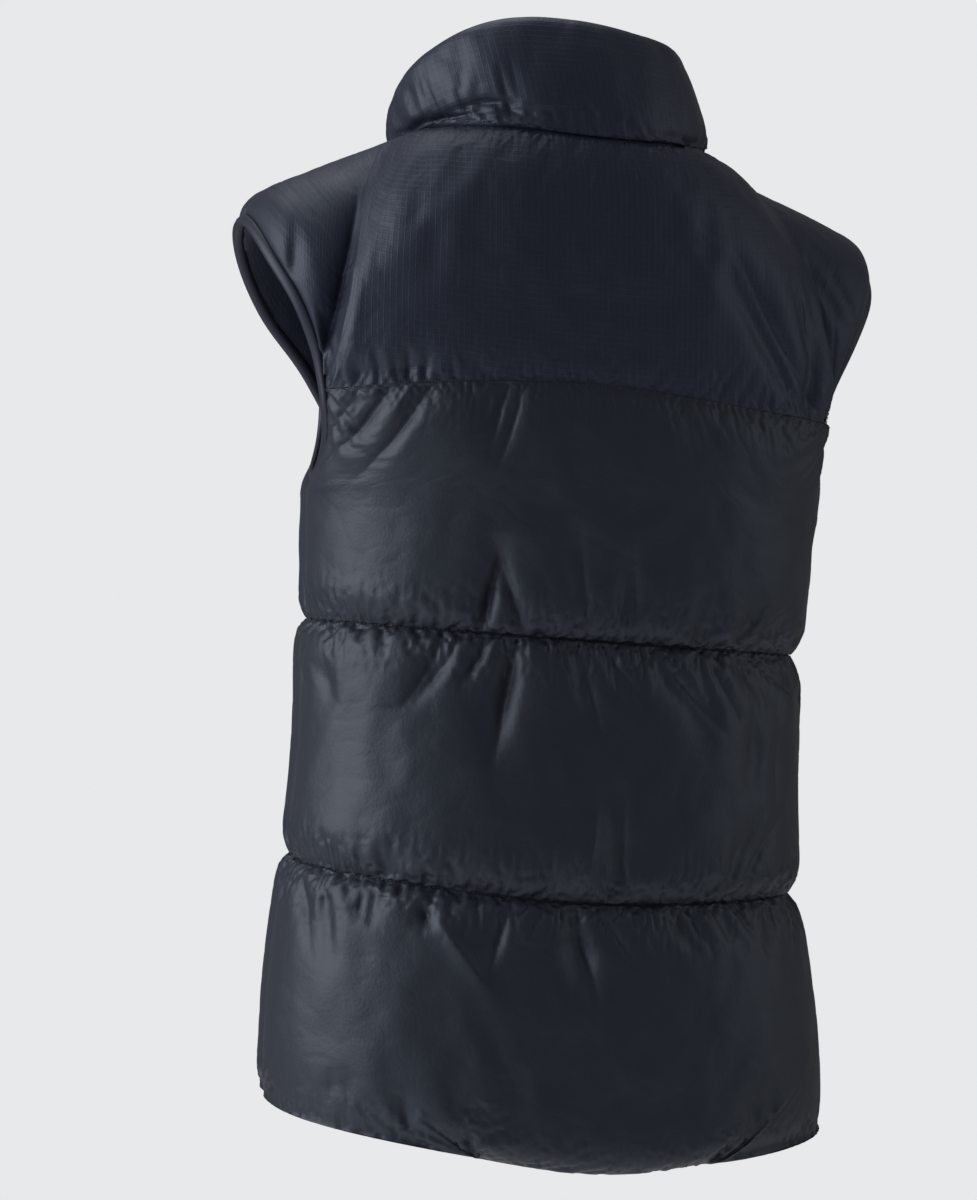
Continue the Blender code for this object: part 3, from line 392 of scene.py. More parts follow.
def pressed(inner, outer, normals, folds, gathered, seed):
    """The settled cloth with its finest forms: the folds' sharp bottoms, short gathers where it is
    gathered, and faint creases all over. The wall keeps its least thickness."""
    cells = cell_size(inner)
    fade = np.minimum(rim_distance(inner) / RIM_FADE, 1)
    depth = FOLD_PRESS * folded(inner, normals, folds, sharp=True)[0]
    for deepest, wave, first_seed, stretch in (
            (GATHER_DEPTH * gathered, GATHER_WAVE, GATHER_SEEDS, GATHER_STRETCH),
            (CREASE_DEPTH, CREASE_WAVE, CREASE_SEEDS, CREASE_STRETCH)):
        depth += deepest * creased(depth.shape, cells, wave, first_seed + seed, stretch)
    room = ((outer - inner) * normals).sum(-1) - THINNEST
    return outer - normals * np.minimum(depth * fade, np.maximum(room, 0))[..., None]


def new_piece(name, points, faces, material, flat=None):
    """A smooth mesh object, its faces turned outwards. Flat coordinates in metres make its UV map."""
    mesh = bpy.data.meshes.new(name)
    mesh.from_pydata(points.tolist(), [], faces)
    work = bmesh.new()
    work.from_mesh(mesh)
    bmesh.ops.recalc_face_normals(work, faces=work.faces)
    if work.calc_volume(signed=True) < 0:
        bmesh.ops.reverse_faces(work, faces=work.faces)
    work.to_mesh(mesh)
    work.free()
    if flat is not None:
        corner = np.empty(len(mesh.loops), int)
        mesh.loops.foreach_get("vertex_index", corner)
        mesh.uv_layers.new(name="cut").uv.foreach_set("vector", flat[corner].reshape(-1))
    mesh.shade_smooth()
    mesh.materials.append(material)
    piece = bpy.data.objects.new(name, mesh)
    bpy.context.scene.collection.objects.link(piece)
    return piece


INNER_CELLS = 8                           # the plain inner side has one line to so many outer ones


def wall_piece(name, inner, outer, flat, material):
    """One closed padded wall between two grids. The inner side has coarse faces, but all of the rim's
    points, so that it closes on the outer side."""
    rows, columns = inner.shape[:2]
    count = rows * columns

    def at(row, column):
        return count + row * columns + column

    faces = grid_faces(rows, columns).tolist()
    row_lines = sorted({*range(0, rows - 1, INNER_CELLS), rows - 1})
    column_lines = sorted({*range(0, columns - 1, INNER_CELLS), columns - 1})
    for top, bottom in zip(row_lines, row_lines[1:]):
        for left, right in zip(column_lines, column_lines[1:]):
            loop = [at(top, c) for c in (range(left, right) if top == 0 else (left,))]
            loop += [at(r, right) for r in (range(top, bottom) if right == columns - 1 else (top,))]
            loop += [at(bottom, c) for c in (range(right, left, -1) if bottom == rows - 1 else (right,))]
            loop += [at(r, left) for r in (range(bottom, top, -1) if left == 0 else (bottom,))]
            faces.append(loop)
    number = np.arange(count).reshape(rows, columns)
    rim = np.concatenate([number[0, :-1], number[:-1, -1], number[-1, :0:-1], number[:0:-1, 0]])
    following = np.roll(rim, -1)
    faces += np.stack([following + count, rim + count, rim, following], -1).tolist()
    points = np.concatenate([outer.reshape(-1, 3), inner.reshape(-1, 3)])
    flat = np.concatenate([flat.reshape(-1, 2)] * 2)
    used = np.zeros(2 * count, bool)
    used[:count] = True
    used[[corner for face in faces[(rows - 1) * (columns - 1):] for corner in face]] = True
    renumber = np.cumsum(used) - 1
    faces = [renumber[face].tolist() for face in faces]
    return new_piece(name, points[used], faces, material, flat[used])


MOST_MOVE, WITHIN_EDGES = 0.011, 0.9


def kept_inside(moved, wall):
    """Movements of most tanh(size / most), which stay between the lines through the wall's edges."""
    size = np.linalg.norm(moved, axis=-1, keepdims=True)
    moved = moved * (MOST_MOVE * np.tanh(size / MOST_MOVE) / np.maximum(size, TINY))
    for axis in (0, 1):
        tangent = unit(np.gradient(wall, axis=axis))
        before, after = lengths(wall, axis)
        along = (moved * tangent).sum(-1)
        kept = np.clip(along, -WITHIN_EDGES * before, WITHIN_EDGES * after)
        moved = moved + tangent * (kept - along)[..., None]
    return moved


def fading(distance, reach):
    """1 at an edge and 0 from the reach on: (1 - distance / reach)^1.5."""
    return (1 - np.minimum(distance / reach, 1)) ** 1.5


SEAM_HOLD, CROWN_HOLD, FOLD_HOLD, EVEN_HOLD = 0.24, 0.38, 0.80, 0.95     # how firmly the filling holds
PUCKER_REACH, GATHER_REACH, RIM_REACH = 0.075, 0.055, 0.010
EVEN_REACH, EVEN_START = 0.036, 1.6
UNEVEN_DEPTH, UNEVEN_WAVE = 0.0006, 0.034
LOOSENESS, YOKE_LOOSENESS = 0.045, 0.014  # at a quilting channel, and at a panel's yoke seam


def add_padded(node, material, wall, angle, down, crown, pinches, folds, looseness, seed, normals=None):
    """A padded piece on a wall. Its worn shape is padded and folded, its cut has the lengths of the
    unpinched wall, and the cloth simulation settles one into the other. Looseness is how much longer
    the cloth is than its first and its last seam; an edge with none stays even and has no puckers."""
    inner = wall(angle, down)
    normals = outward(wall, angle, down) if normals is None else normals
    thickness = SEAM_THICKNESS + (crown - SEAM_THICKNESS) * padding(inner, pinches)
    depth, firm = folded(posed(inner + normals * crown), normals, folds)
    depth = depth + UNEVEN_DEPTH * uneven(angle.shape, cell_size(inner), UNEVEN_WAVE, seed)
    plain = inner + normals * thickness[..., None]
    rim_fade = np.minimum(rim_distance(inner) / RIM_REACH, 1)
    worn = posed(inner + normals * np.maximum(thickness - depth * rim_fade, THINNEST)[..., None])
    edges = list(zip(looseness, lengths(plain, 0)))
    even_edge = np.maximum.reduce([np.equal(more, 0) * np.clip(EVEN_START - distance / EVEN_REACH, 0, 1)
                                   for more, distance in edges])
    height = crown + (thickness - crown) * even_edge
    cut = posed(cut_shape(inner + normals * height[..., None], plain))
    most = max(np.max(more) for more in looseness)
    eased = [more / most * fading(distance, PUCKER_REACH) for more, distance in edges]
    eased = np.maximum.reduce([*eased, firm])
    hold = CROWN_HOLD + (SEAM_HOLD - CROWN_HOLD) * eased
    hold = np.maximum(hold, SEAM_HOLD + (FOLD_HOLD - SEAM_HOLD) * firm)
    hold = np.maximum(hold, EVEN_HOLD * even_edge)
    hold[[0, -1]] = 1.0
    hold[:, [0, -1]] = 1.0
    moved = filled(worn, cut, hold, eased, most) - worn
    worn = worn + kept_inside(moved, posed(inner))
    flat = np.stack([signed_lengths(cut, 1), -signed_lengths(cut, 0)], -1)
    fine_inner, fine_normals = refined(posed(inner)), unit(refined(normals))
    gathered = sum(more / LOOSENESS * fading(distance, GATHER_REACH) for more, distance in edges)
    fine_outer = pressed(fine_inner, refined(worn), fine_normals, folds, refined(gathered), seed)
    piece = wall_piece("padded_" + node, fine_inner, fine_outer, refined(flat), material)
    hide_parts(node)
    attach(piece, "vest")
    return inner, normals


def new_material(name, colour, roughness, metallic=0.0, tint=(1.0, 1.0, 1.0)):
    """A Principled material, and its shader."""
    material = bpy.data.materials.new(name)
    material.use_nodes = True
    shader = material.node_tree.nodes["Principled BSDF"]
    shader.inputs["Base Color"].default_value = (*colour, 1.0)
    shader.inputs["Roughness"].default_value = roughness
    shader.inputs["Metallic"].default_value = metallic
    shader.inputs["Specular Tint"].default_value = (*tint, 1.0)
    return material, shader


def flat_cut(tree):
    """Coordinates on a piece's flat cut, in metres."""
    place = tree.nodes.new("ShaderNodeUVMap")
    place.uv_map = "cut"
    return place.outputs["UV"]


def add_bump(tree, shader, height, distance):
    """Relief from a height between 0 and 1, under the relief that the shader already has."""
    bump = tree.nodes.new("ShaderNodeBump")
    bump.inputs["Distance"].default_value = distance
    tree.links.new(height, bump.inputs["Height"])
    if shader.inputs["Normal"].links:
        tree.links.new(shader.inputs["Normal"].links[0].from_socket, bump.inputs["Normal"])
    tree.links.new(bump.outputs["Normal"], shader.inputs["Normal"])


def cloth_noise(tree, shader, scale, distance):
    """Uneven relief of a cloth, laid on its flat cut: fractal noise of so many waves to a metre."""
    noise = tree.nodes.new("ShaderNodeTexNoise")
    noise.noise_dimensions = "2D"
    noise.inputs["Scale"].default_value = scale
    noise.inputs["Detail"].default_value = 3.0
    tree.links.new(flat_cut(tree), noise.inputs["Vector"])
    add_bump(tree, shader, noise.outputs["Fac"], distance)


taffeta, shader = new_material("satin taffeta", (0.0120, 0.0150, 0.0230), 0.50, tint=(0.75, 0.84, 1.0))
cloth_noise(taffeta.node_tree, shader, scale=60.0, distance=0.0004)
cloth_noise(taffeta.node_tree, shader, scale=420.0, distance=0.00015)

PANEL_COLUMNS, FRONT_COLUMNS = 150, 66
CHANNEL_THICKNESS, YOKE_SEAM_THICKNESS = 0.0105, 0.0160
ARMHOLE_HOLD, FLAT_SLOWNESS = 0.86, 2.2


def hold_to(thickness, crown):
    """How far a seam holds down padding of a crown's thickness, to leave the given one at the seam."""
    return 1 - (thickness - SEAM_THICKNESS) / (crown - SEAM_THICKNESS)


# Of each kind of edge: how far it is held down, how wide its rise is, and how slowly that starts.
CHANNEL_PINCH = (hold_to(CHANNEL_THICKNESS, CROWN_THICKNESS), PUFF_WIDTH, 1.4)
YOKE_SEAM_PINCH = (hold_to(YOKE_SEAM_THICKNESS, CROWN_THICKNESS), PUFF_WIDTH, FLAT_SLOWNESS)
HEM_PINCH, ZIP_PINCH = (1, 0.020, 1), (0.9, EDGE_PUFF_WIDTH, 1)
ARMHOLE_PINCH, SIDE_PINCH = (ARMHOLE_HOLD, EDGE_PUFF_WIDTH, 1), (0.55, EDGE_PUFF_WIDTH, 1)
ROWS = (("upper", YOKE_SEAM, UPPER_SEAM, UPPER_FOLDS), ("middle", UPPER_SEAM, LOWER_SEAM, MIDDLE_FOLDS),
        ("lower", LOWER_SEAM, HEM, LOWER_FOLDS))


def end_pinches(side, outer):
    """The pinches at a piece's first and last column: a back has the outer one twice, and a front has
    the zip's at its inner end."""
    return {"back": [outer, outer], "left": [outer, ZIP_PINCH], "right": [ZIP_PINCH, outer]}[side]


def add_panel(node, top, bottom, side, folds, seed):
    """A body panel between two seams; returns the grid of its inner wall and the normals there."""
    top_pinch, looseness, outer_pinch = CHANNEL_PINCH, LOOSENESS, SIDE_PINCH
    if top is YOKE_SEAM:
        top_pinch, looseness, outer_pinch = YOKE_SEAM_PINCH, YOKE_LOOSENESS, ARMHOLE_PINCH
    bottom_pinch = HEM_PINCH if bottom is HEM else CHANNEL_PINCH
    shares = even_shares(top[0] - bottom[0], CROWN_THICKNESS, PUFF_WIDTH, bottom_pinch[1])
    angle, down = panel_grid(top, bottom, side, shares, PANEL_COLUMNS if side == "back" else FRONT_COLUMNS)
    return add_padded(node, taffeta, body_wall, angle, down, CROWN_THICKNESS,
                      [top_pinch, bottom_pinch] + end_pinches(side, outer_pinch), folds,
                      (looseness, LOOSENESS), seed)


BACK_SEEDS = 1
panels = {}
for seed, (row, top, bottom, folds) in enumerate(ROWS, BACK_SEEDS):
    panels["back", row] = add_panel(f"back_panel_{row}", top, bottom, "back", folds, seed)

# ====================================================================== front panels
# Padded halves of the same taffeta, quilted in the same three rows, between the side seam and the zip
# tape that is sewn to each. They are plain: no pocket or flap is sewn to them.
FRONT_SEEDS = 11
for side in ("left", "right"):
    for seed, (row, top, bottom, _) in enumerate(ROWS, FRONT_SEEDS):
        panels[side, row] = add_panel(f"front_panel_{side}_{row}", top, bottom, side, (), seed)

# ====================================================================== yokes
# Ripstop nylon over both shoulders: one back yoke and two front ones, padded like the panels, sewn to
# the collar, to each other at the shoulder and to the panels below.
NECK_HALF_WIDTH, NECK_BEHIND, NECK_BEFORE, NECK_DROP = 0.094, 0.078, 0.088, 0.090
YOKE_THICKNESS, NECK_PUFF_WIDTH = 0.0215, 0.050
CORNER_REACH = np.radians(9)              # how far round the body a corner slants the yoke's cloth
CORNER_ROUNDING = 1.5                     # how many reaches wide the rim is rounded there
CORNER_FADE, BESIDE_CORNER, SAME_ANGLE = 0.035, 0.0004, 1e-6
DIRECTION_STEP = 0.001                    # a short way along a wall, over which its direction is taken
LEVEL_BEHIND, LEVEL_BEFORE, LEVEL_BESIDE = 0.35, 0.60, 0.93    # how level a yoke leaves the collar seam
HANDLE, TIP_SINK = 0.38, 0.5              # of the Bezier curve's span; and how far the tip points down
SHOULDER_COLUMNS, YOKE_COLUMNS, YOKE_FRONT_COLUMNS = 30, 136, 56
#    angle, side, behind the axis, height
UPPER_ARMHOLE = np.array([
    (78, 0.191, 0.062, -0.158), (83, 0.205, 0.064, -0.124), (88, 0.220, 0.050, -0.093),
    (93, 0.227, 0.022, -0.069), (97, 0.229, -0.004, -0.061), (101, 0.226, -0.032, -0.069),
    (106, 0.214, -0.058, -0.093), (111, 0.194, -0.078, -0.124), (117, 0.164, -0.091, -0.159)])
COLLAR_TOP_HALF_WIDTH, COLLAR_TOP_BEHIND, COLLAR_TOP_BEFORE = 0.089, 0.074, 0.072
COLLAR_TOP_LEAN, COLLAR_TOP_Y, COLLAR_BOW = 0.014, -0.094, 0.005
#    angle, height
COLLAR_TOP = np.array([
    (-180, -0.030), (-140, 0.012), (-110, 0.048), (-73, 0.073), (-30, 0.081), (0, 0.084),
    (40, 0.077), (62, 0.060), (82, 0.043), (107, 0.025), (140, -0.005), (180, -0.030)])
YOKE_FOLDS = (
    (0.141, 0.073, 0.166, 0.179, 0.008, 0.009), (0.179, 0.071, 0.186, 0.107, 0.005, 0.004),
    (0.127, 0.080, 0.148, 0.180, 0.007, -0.003), (-0.142, 0.107, -0.192, 0.194, 0.008, 0.006),
    (-0.189, 0.100, -0.205, 0.165, 0.007, 0.005), (-0.205, 0.143, -0.197, 0.215, 0.006, 0.006),
    (-0.203, 0.092, -0.230, 0.132, 0.006, 0.004),
    (0.141, 0.157, 0.140, 0.178, 0.004, 0.004), (0.131, 0.160, 0.130, 0.178, 0.004, 0.003),
    (0.120, 0.155, 0.118, 0.177, 0.004, 0.004), (0.108, 0.158, 0.107, 0.176, 0.004, 0.003),
    (0.099, 0.155, 0.099, 0.176, 0.004, 0.004), (0.087, 0.160, 0.088, 0.175, 0.004, 0.003))


def neck_seam(angle):
    """Collar seam: a squared oval that falls by drop ((1 - cos angle) / 2)^4 towards centre front."""
    radius = oval(angle, NECK_HALF_WIDTH, NECK_BEHIND, NECK_BEFORE)
    fall = NECK_DROP * ((1 - np.cos(angle)) / 2) ** 4
    return np.stack([radius * np.sin(angle), radius * np.cos(angle) - NECK_BEHIND, -fall], -1)


def corner_row(angle):
    """A yoke seam's corner at the armhole, as a row like those of UPPER_ARMHOLE."""
    height = seam_height(YOKE_SEAM, angle)
    half_width, behind, before, _ = smooth(SECTIONS, height)
    radius = oval(angle, half_width, behind, before)
    return np.degrees(angle), radius * np.sin(angle), radius * np.cos(angle), height


ARMHOLE_EDGE = np.vstack([corner_row(BACK_CORNER), UPPER_ARMHOLE, corner_row(FRONT_CORNER)])
SHOULDER_TIP = UPPER_ARMHOLE[:, 3].max()


def level_out(angle):
    """Level unit vectors away from the body's axis: (sin angle, cos angle, 0)."""
    return np.stack([np.sin(angle), np.cos(angle), np.zeros_like(angle)], -1)


def corner_distance(turn):
    """How far round the body an angle is from the nearer of the armhole's two corners."""
    return np.minimum(np.abs(turn - BACK_CORNER), np.abs(turn - FRONT_CORNER))


def yoke_rim(angle):
    """Lower end of a yoke and the way it arrives there: down at the seam, slanting at the corner, and
    turning with the armhole to point out over the shoulder tip."""
    turn, left = np.abs(angle), np.where(angle < 0, -1, 1)
    seam_down = -seam_height(YOKE_SEAM, turn)
    seam = body_wall(angle, seam_down)
    downwards = unit(body_wall(angle, seam_down + DIRECTION_STEP) - seam)
    side, behind, height = smooth(ARMHOLE_EDGE, np.degrees(turn))
    lean = smooth(SECTIONS, height)[3]
    edge = np.stack([lean + left * side, AXIS_Y + behind, height], -1)
    in_armhole = (turn > BACK_CORNER) & (turn < FRONT_CORNER)
    near = np.exp(-(corner_distance(turn) / CORNER_REACH) ** 2)
    behind_tip = turn < SIDE_SEAM
    on_seam = left * np.where(behind_tip, np.minimum(turn, BACK_CORNER), np.maximum(turn, FRONT_CORNER))
    step = left * np.where(behind_tip, DIRECTION_STEP, -DIRECTION_STEP)
    into = unit(body_wall(on_seam + step, seam_down) - body_wall(on_seam, seam_down))
    climb = np.clip((height + seam_down) / (SHOULDER_TIP + seam_down), 0, 1) * np.pi / 2
    over = into * np.cos(climb)[..., None] + level_out(angle) * np.sin(climb)[..., None]
    sink = np.where(in_armhole, near + TIP_SINK * np.sin(climb), 1.0)
    slant = np.where(in_armhole, 1.0, near)
    arrive = unit(slant[..., None] * over + sink[..., None] * downwards)
    return np.where(in_armhole[..., None], edge, seam), arrive


def yoke_wall(angle, share):
    """Inner wall over the shoulders: a cubic Bezier curve from the collar seam (0) to a rim with rounded
    corners, plus t^7 times the way from there to the true rim (1)."""
    start = neck_seam(angle)
    end, _ = yoke_rim(angle)
    beside = np.array([yoke_rim(angle + turn * CORNER_REACH) for turn in (-1, -0.5, 0, 0.5, 1)])
    rounded, arrive = beside.mean(0)
    near = np.exp(-(corner_distance(np.abs(angle)) / CORNER_REACH / CORNER_ROUNDING) ** 4)[..., None]
    rounded, arrive = end + near * (rounded - end), unit(arrive)
    level = np.where(np.cos(angle) > 0, LEVEL_BEHIND, LEVEL_BEFORE)
    level = level * np.cos(angle) ** 2 + LEVEL_BESIDE * np.sin(angle) ** 2
    leave = level[..., None] * level_out(angle) - np.sqrt(1 - level ** 2)[..., None] * (0, 0, 1)
    reach = HANDLE * np.linalg.norm(rounded - start, axis=-1, keepdims=True)
    t = share[..., None]
    wall = (1 - t) ** 3 * start + 3 * t * (1 - t) ** 2 * (start + reach * leave)
    wall = wall + 3 * t * t * (1 - t) * (rounded - reach * arrive) + t ** 3 * rounded
    return wall + t ** 7 * (end - rounded)


def yoke_grid(side, shares):
    """Angles and shares of a yoke, in rows from the collar seam to its rim."""
    neck_reach, tip_reach = 0.10, 0.39      # metres along the shoulder seam's side for one radian
    trims = SEAM_GAP / 2 / (neck_reach * (1 - shares) + tip_reach * shares)
    if side == "back":
        middle = even_angles(-BACK_CORNER, BACK_CORNER, YOKE_COLUMNS)
        ends = [np.linspace(BACK_CORNER, SIDE_SEAM - trim, SHOULDER_COLUMNS + 1)[1:] for trim in trims]
        angle = np.array([np.concatenate([-end[::-1], middle, end]) for end in ends])
    else:
        fronts = zip_edge(yoke_wall, shares)
        angle = np.array([np.concatenate([
            np.linspace(SIDE_SEAM + trim, FRONT_CORNER, SHOULDER_COLUMNS + 1),
            even_angles(FRONT_CORNER, front, YOKE_FRONT_COLUMNS)[1:]]) for trim, front in zip(trims, fronts)])
    share = np.broadcast_to(shares[:, None], angle.shape)
    return (-angle[:, ::-1], share) if side == "right" else (angle, share)


ripstop, shader = new_material("ripstop nylon", (0.0105, 0.0130, 0.0250), 0.50, tint=(0.70, 0.80, 1.0))
tree = ripstop.node_tree
cloth_noise(tree, shader, scale=50.0, distance=0.0003)
# Its thicker threads: a line wherever the distance to the nearest of them, each way, is small.
RIPSTOP_PITCH, RIPSTOP_LINE, RIPSTOP_RELIEF = 0.0044, 0.0006, 0.00008
split = tree.nodes.new("ShaderNodeSeparateXYZ")
tree.links.new(flat_cut(tree), split.inputs["Vector"])
lines = []
for axis in ("X", "Y"):
    nearest = tree.nodes.new("ShaderNodeMath")
    nearest.operation = "PINGPONG"
    nearest.inputs[1].default_value = RIPSTOP_PITCH / 2
    tree.links.new(split.outputs[axis], nearest.inputs[0])
    line = tree.nodes.new("ShaderNodeMapRange")
    line.inputs["From Max"].default_value = RIPSTOP_LINE
    line.inputs["To Min"].default_value, line.inputs["To Max"].default_value = 1.0, 0.0
    tree.links.new(nearest.outputs["Value"], line.inputs["Value"])
    lines.append(line.outputs["Result"])
grid = tree.nodes.new("ShaderNodeMath")
grid.operation = "MAXIMUM"
for line, socket in zip(lines, grid.inputs):
    tree.links.new(line, socket)
add_bump(tree, shader, grid.outputs["Value"], RIPSTOP_RELIEF)
colours = tree.nodes.new("ShaderNodeMix")
colours.data_type = "RGBA"
tree.links.new(grid.outputs["Value"], colours.inputs["Factor"])
colours.inputs["A"].default_value = (0.0100, 0.0125, 0.0240, 1.0)
colours.inputs["B"].default_value = (0.0125, 0.0155, 0.0285, 1.0)
tree.links.new(colours.outputs["Result"], shader.inputs["Base Color"])


def collar_wall(angle, share):
    """Inner wall of the collar: straight from its top edge (0) to its seam (1), bowed outwards by
    4 bow t (1 - t) cos(angle / 2)."""
    radius = oval(angle, COLLAR_TOP_HALF_WIDTH, COLLAR_TOP_BEHIND, COLLAR_TOP_BEFORE)
    lean = COLLAR_TOP_LEAN * (1 - ((1 - np.cos(angle)) / 2) ** 4)
    height = smooth(COLLAR_TOP, np.degrees(angle))[0]
    top = np.stack([lean + radius * np.sin(angle), COLLAR_TOP_Y + radius * np.cos(angle), height], -1)
    bow = COLLAR_BOW * 4 * share * (1 - share) * np.cos(angle / 2)
    t = share[..., None]
    return top * (1 - t) + neck_seam(angle) * t + level_out(angle) * bow[..., None]


def mitred(normals, angle, share, rate):
    """Normals near the collar seam, turned by exp(-rate share) into the plane that halves its corner."""
    seam = np.ones_like(angle)
    halfway = unit(outward(collar_wall, angle, seam) + outward(yoke_wall, angle, DIRECTION_STEP * seam))
    weight = np.exp(-rate * share)[..., None]
    return unit(normals * (1 - weight) + halfway * weight)


NECK_SEAM_THICKNESS, NECK_SLOWNESS = 0.0180, 1.5
SHOULDER_PINCH = (0.45, EDGE_PUFF_WIDTH, 1)
NECK_LOOSENESS, RIM_LOOSENESS = 0.010, 0.016
YOKE_LENGTH, YOKE_CELLS = 0.19, 54
YOKE_SHARES = (0.0014, 0.9988)            # its first and last row lie just inside the two seams
YOKE_MITRE, YOKE_SEEDS = 9, 31

yokes = {}
for seed, (side, node) in enumerate((("back", "back_yoke"), ("left", "front_yoke_left"),
                                     ("right", "front_yoke_right")), YOKE_SEEDS):
    shares = even_shares(YOKE_LENGTH, YOKE_THICKNESS, NECK_PUFF_WIDTH, PUFF_WIDTH, YOKE_CELLS)
    shares[[0, -1]] = YOKE_SHARES
    angle, share = yoke_grid(side, shares)
    # At a corner of the rim the normal is the yoke seam's own, taken just beside the corner.
    turn, beside = np.abs(angle), BESIDE_CORNER * np.sign(angle)
    beside = beside * (np.isclose(turn, FRONT_CORNER) * 1 - np.isclose(turn, BACK_CORNER) * 1)
    normals = mitred(outward(yoke_wall, angle + beside, share), angle, share, YOKE_MITRE)
    # Along a yoke seam it ends as thick as the panel and square to it, and thins towards the armhole.
    on_seam = (turn < BACK_CORNER + SAME_ANGLE) | (turn > FRONT_CORNER - SAME_ANGLE)
    below = outward(body_wall, angle, -seam_height(YOKE_SEAM, angle))
    along = lengths(yoke_wall(angle, share)[-1:], 1)[0][0]
    corners = along[np.isclose(turn[-1], FRONT_CORNER) | np.isclose(turn[-1], BACK_CORNER)]
    from_corner = np.abs(along[:, None] - corners).min(1)
    beside_seam = np.where(on_seam[-1], 1.0, np.clip(1 - from_corner / CORNER_FADE, 0, 1)) ** 2
    square = (np.exp(-YOKE_MITRE * (1 - share)) * beside_seam)[..., None]
    normals = unit(normals * (1 - square) + below * square)
    thinned = ARMHOLE_HOLD * (1 - quarter_rise(from_corner, EDGE_PUFF_WIDTH))
    lift = (1 - hold_to(YOKE_SEAM_THICKNESS, YOKE_THICKNESS)) * (1 - thinned)
    neck_pinch = (hold_to(NECK_SEAM_THICKNESS, YOKE_THICKNESS), NECK_PUFF_WIDTH, NECK_SLOWNESS)
    rim_pinch = (1 - lift * on_seam[-1], PUFF_WIDTH, 1 + (FLAT_SLOWNESS - 1) * beside_seam)
    yokes[side] = add_padded(node, ripstop, yoke_wall, angle, share, YOKE_THICKNESS,
                             [neck_pinch, rim_pinch] + end_pinches(side, SHOULDER_PINCH),
                             YOKE_FOLDS if side == "back" else (),
                             (NECK_LOOSENESS, RIM_LOOSENESS * on_seam[-1]), seed, normals)

# ====================================================================== collar
# A tall padded stand collar of the same ripstop in one piece round the neck, rolled over at its top and
# closed by the zip up to there.
COLLAR_THICKNESS, COLLAR_PUFF_WIDTH, COLLAR_ROLL, ROLL_HOLD = 0.022, 0.030, 0.013, 0.70
COLLAR_COLUMNS, COLLAR_CELLS, COLLAR_LENGTH, COLLAR_END = 176, 30, 0.085, 0.9975
COLLAR_LOOSENESS, COLLAR_MITRE, COLLAR_SEED = 0.012, 5, 41
COLLAR_FOLDS = (
    (0.104, -0.002, 0.080, -0.018, 0.0045, 0.008), (0.086, -0.017, 0.054, -0.0175, 0.0045, 0.008),
    (0.060, -0.0225, 0.040, -0.0265, 0.0035, 0.006), (0.047, -0.0265, 0.026, -0.0250, 0.0035, 0.005),
    (0.030, -0.0265, 0.024, -0.0200, 0.0035, 0.003), (0.050, -0.0185, -0.010, -0.0175, 0.007, 0.003),
    (-0.092, -0.001, -0.110, 0.014, 0.005, 0.010), (-0.080, -0.004, -0.104, -0.002, 0.006, 0.004),
    (0.116, -0.040, 0.104, -0.006, 0.004, 0.003), (0.108, -0.050, 0.094, -0.016, 0.004, 0.003))

shares = even_shares(COLLAR_LENGTH, COLLAR_THICKNESS, COLLAR_ROLL, COLLAR_PUFF_WIDTH, COLLAR_CELLS)
shares[-1] = COLLAR_END
angle = np.array([even_angles(-end, end, COLLAR_COLUMNS) for end in zip_edge(collar_wall, shares)])
share = np.broadcast_to(shares[:, None], angle.shape)
neck_pinch = (hold_to(NECK_SEAM_THICKNESS, COLLAR_THICKNESS), COLLAR_PUFF_WIDTH, NECK_SLOWNESS)
add_padded("collar", ripstop, collar_wall, angle, share, COLLAR_THICKNESS,
           [(ROLL_HOLD, COLLAR_ROLL, 1), neck_pinch, ZIP_PINCH, ZIP_PINCH],
           COLLAR_FOLDS, (0, COLLAR_LOOSENESS), COLLAR_SEED,
           mitred(outward(collar_wall, angle, share), angle, 1 - share, COLLAR_MITRE))

# ====================================================================== armhole bindings
# A narrow strip of the yokes' nylon, folded over the raw edge all round each armhole and stitched down
# near its inner edge.
BINDING_WIDTH, BINDING_HALF, BINDING_GAP = 0.0068, 0.0040, 0.0007
BINDING_ARC = np.radians(np.linspace(80, 280, 9)) - np.pi      # round the fold, in the binding's section
BINDING_LEVEL = 0.8                       # share of the seam's thickness at which its middle lies
EVENING_PASSES = 3
binding_cloth, _ = new_material("binding", (0.0105, 0.0130, 0.0240), 0.50, tint=(0.78, 0.85, 1.0))


def evened(ring):
    """Points of a closed ring, each halfway to the middle of its two neighbours."""
    return (np.roll(ring, 1, 0) + 2 * ring + np.roll(ring, -1, 0)) / 4


def armhole_run(side):
    """Points and normals round an armhole: back yoke, front yoke, front panel, back panel."""
    flip = 1 if side == "left" else -1
    shoulder = slice(0, SHOULDER_COLUMNS + 1)
    front, back = panels[side, "upper"], panels["back", "upper"]
    armhole = [slice(0, 1 + np.argmax(panel[0][:, ::flip][:, end, 2] < UNDERARM))
               for panel, end in ((front, 0), (back, -1))]
    runs = [[part[-1, ::flip][-SHOULDER_COLUMNS - 1:][:-1] for part in yokes["back"]],
            [part[-1, ::flip][shoulder][:-1] for part in yokes[side]],
            [part[:, ::flip][armhole[0], 0][:-1] for part in front],
            [part[:, ::flip][armhole[1], -1][::-1][:-1] for part in back]]
    points, normals = (np.concatenate(parts) for parts in zip(*runs))
    for _ in range(EVENING_PASSES):
        points, normals = evened(points), unit(evened(normals))
    tangent = unit(np.roll(points, -1, 0) - np.roll(points, 1, 0))
    normals = unit(normals - tangent * (normals * tangent).sum(-1, keepdims=True))
    inward = np.cross(normals, tangent)
    return points, normals, inward * np.sign((inward * (points.mean(0) - points)).sum())


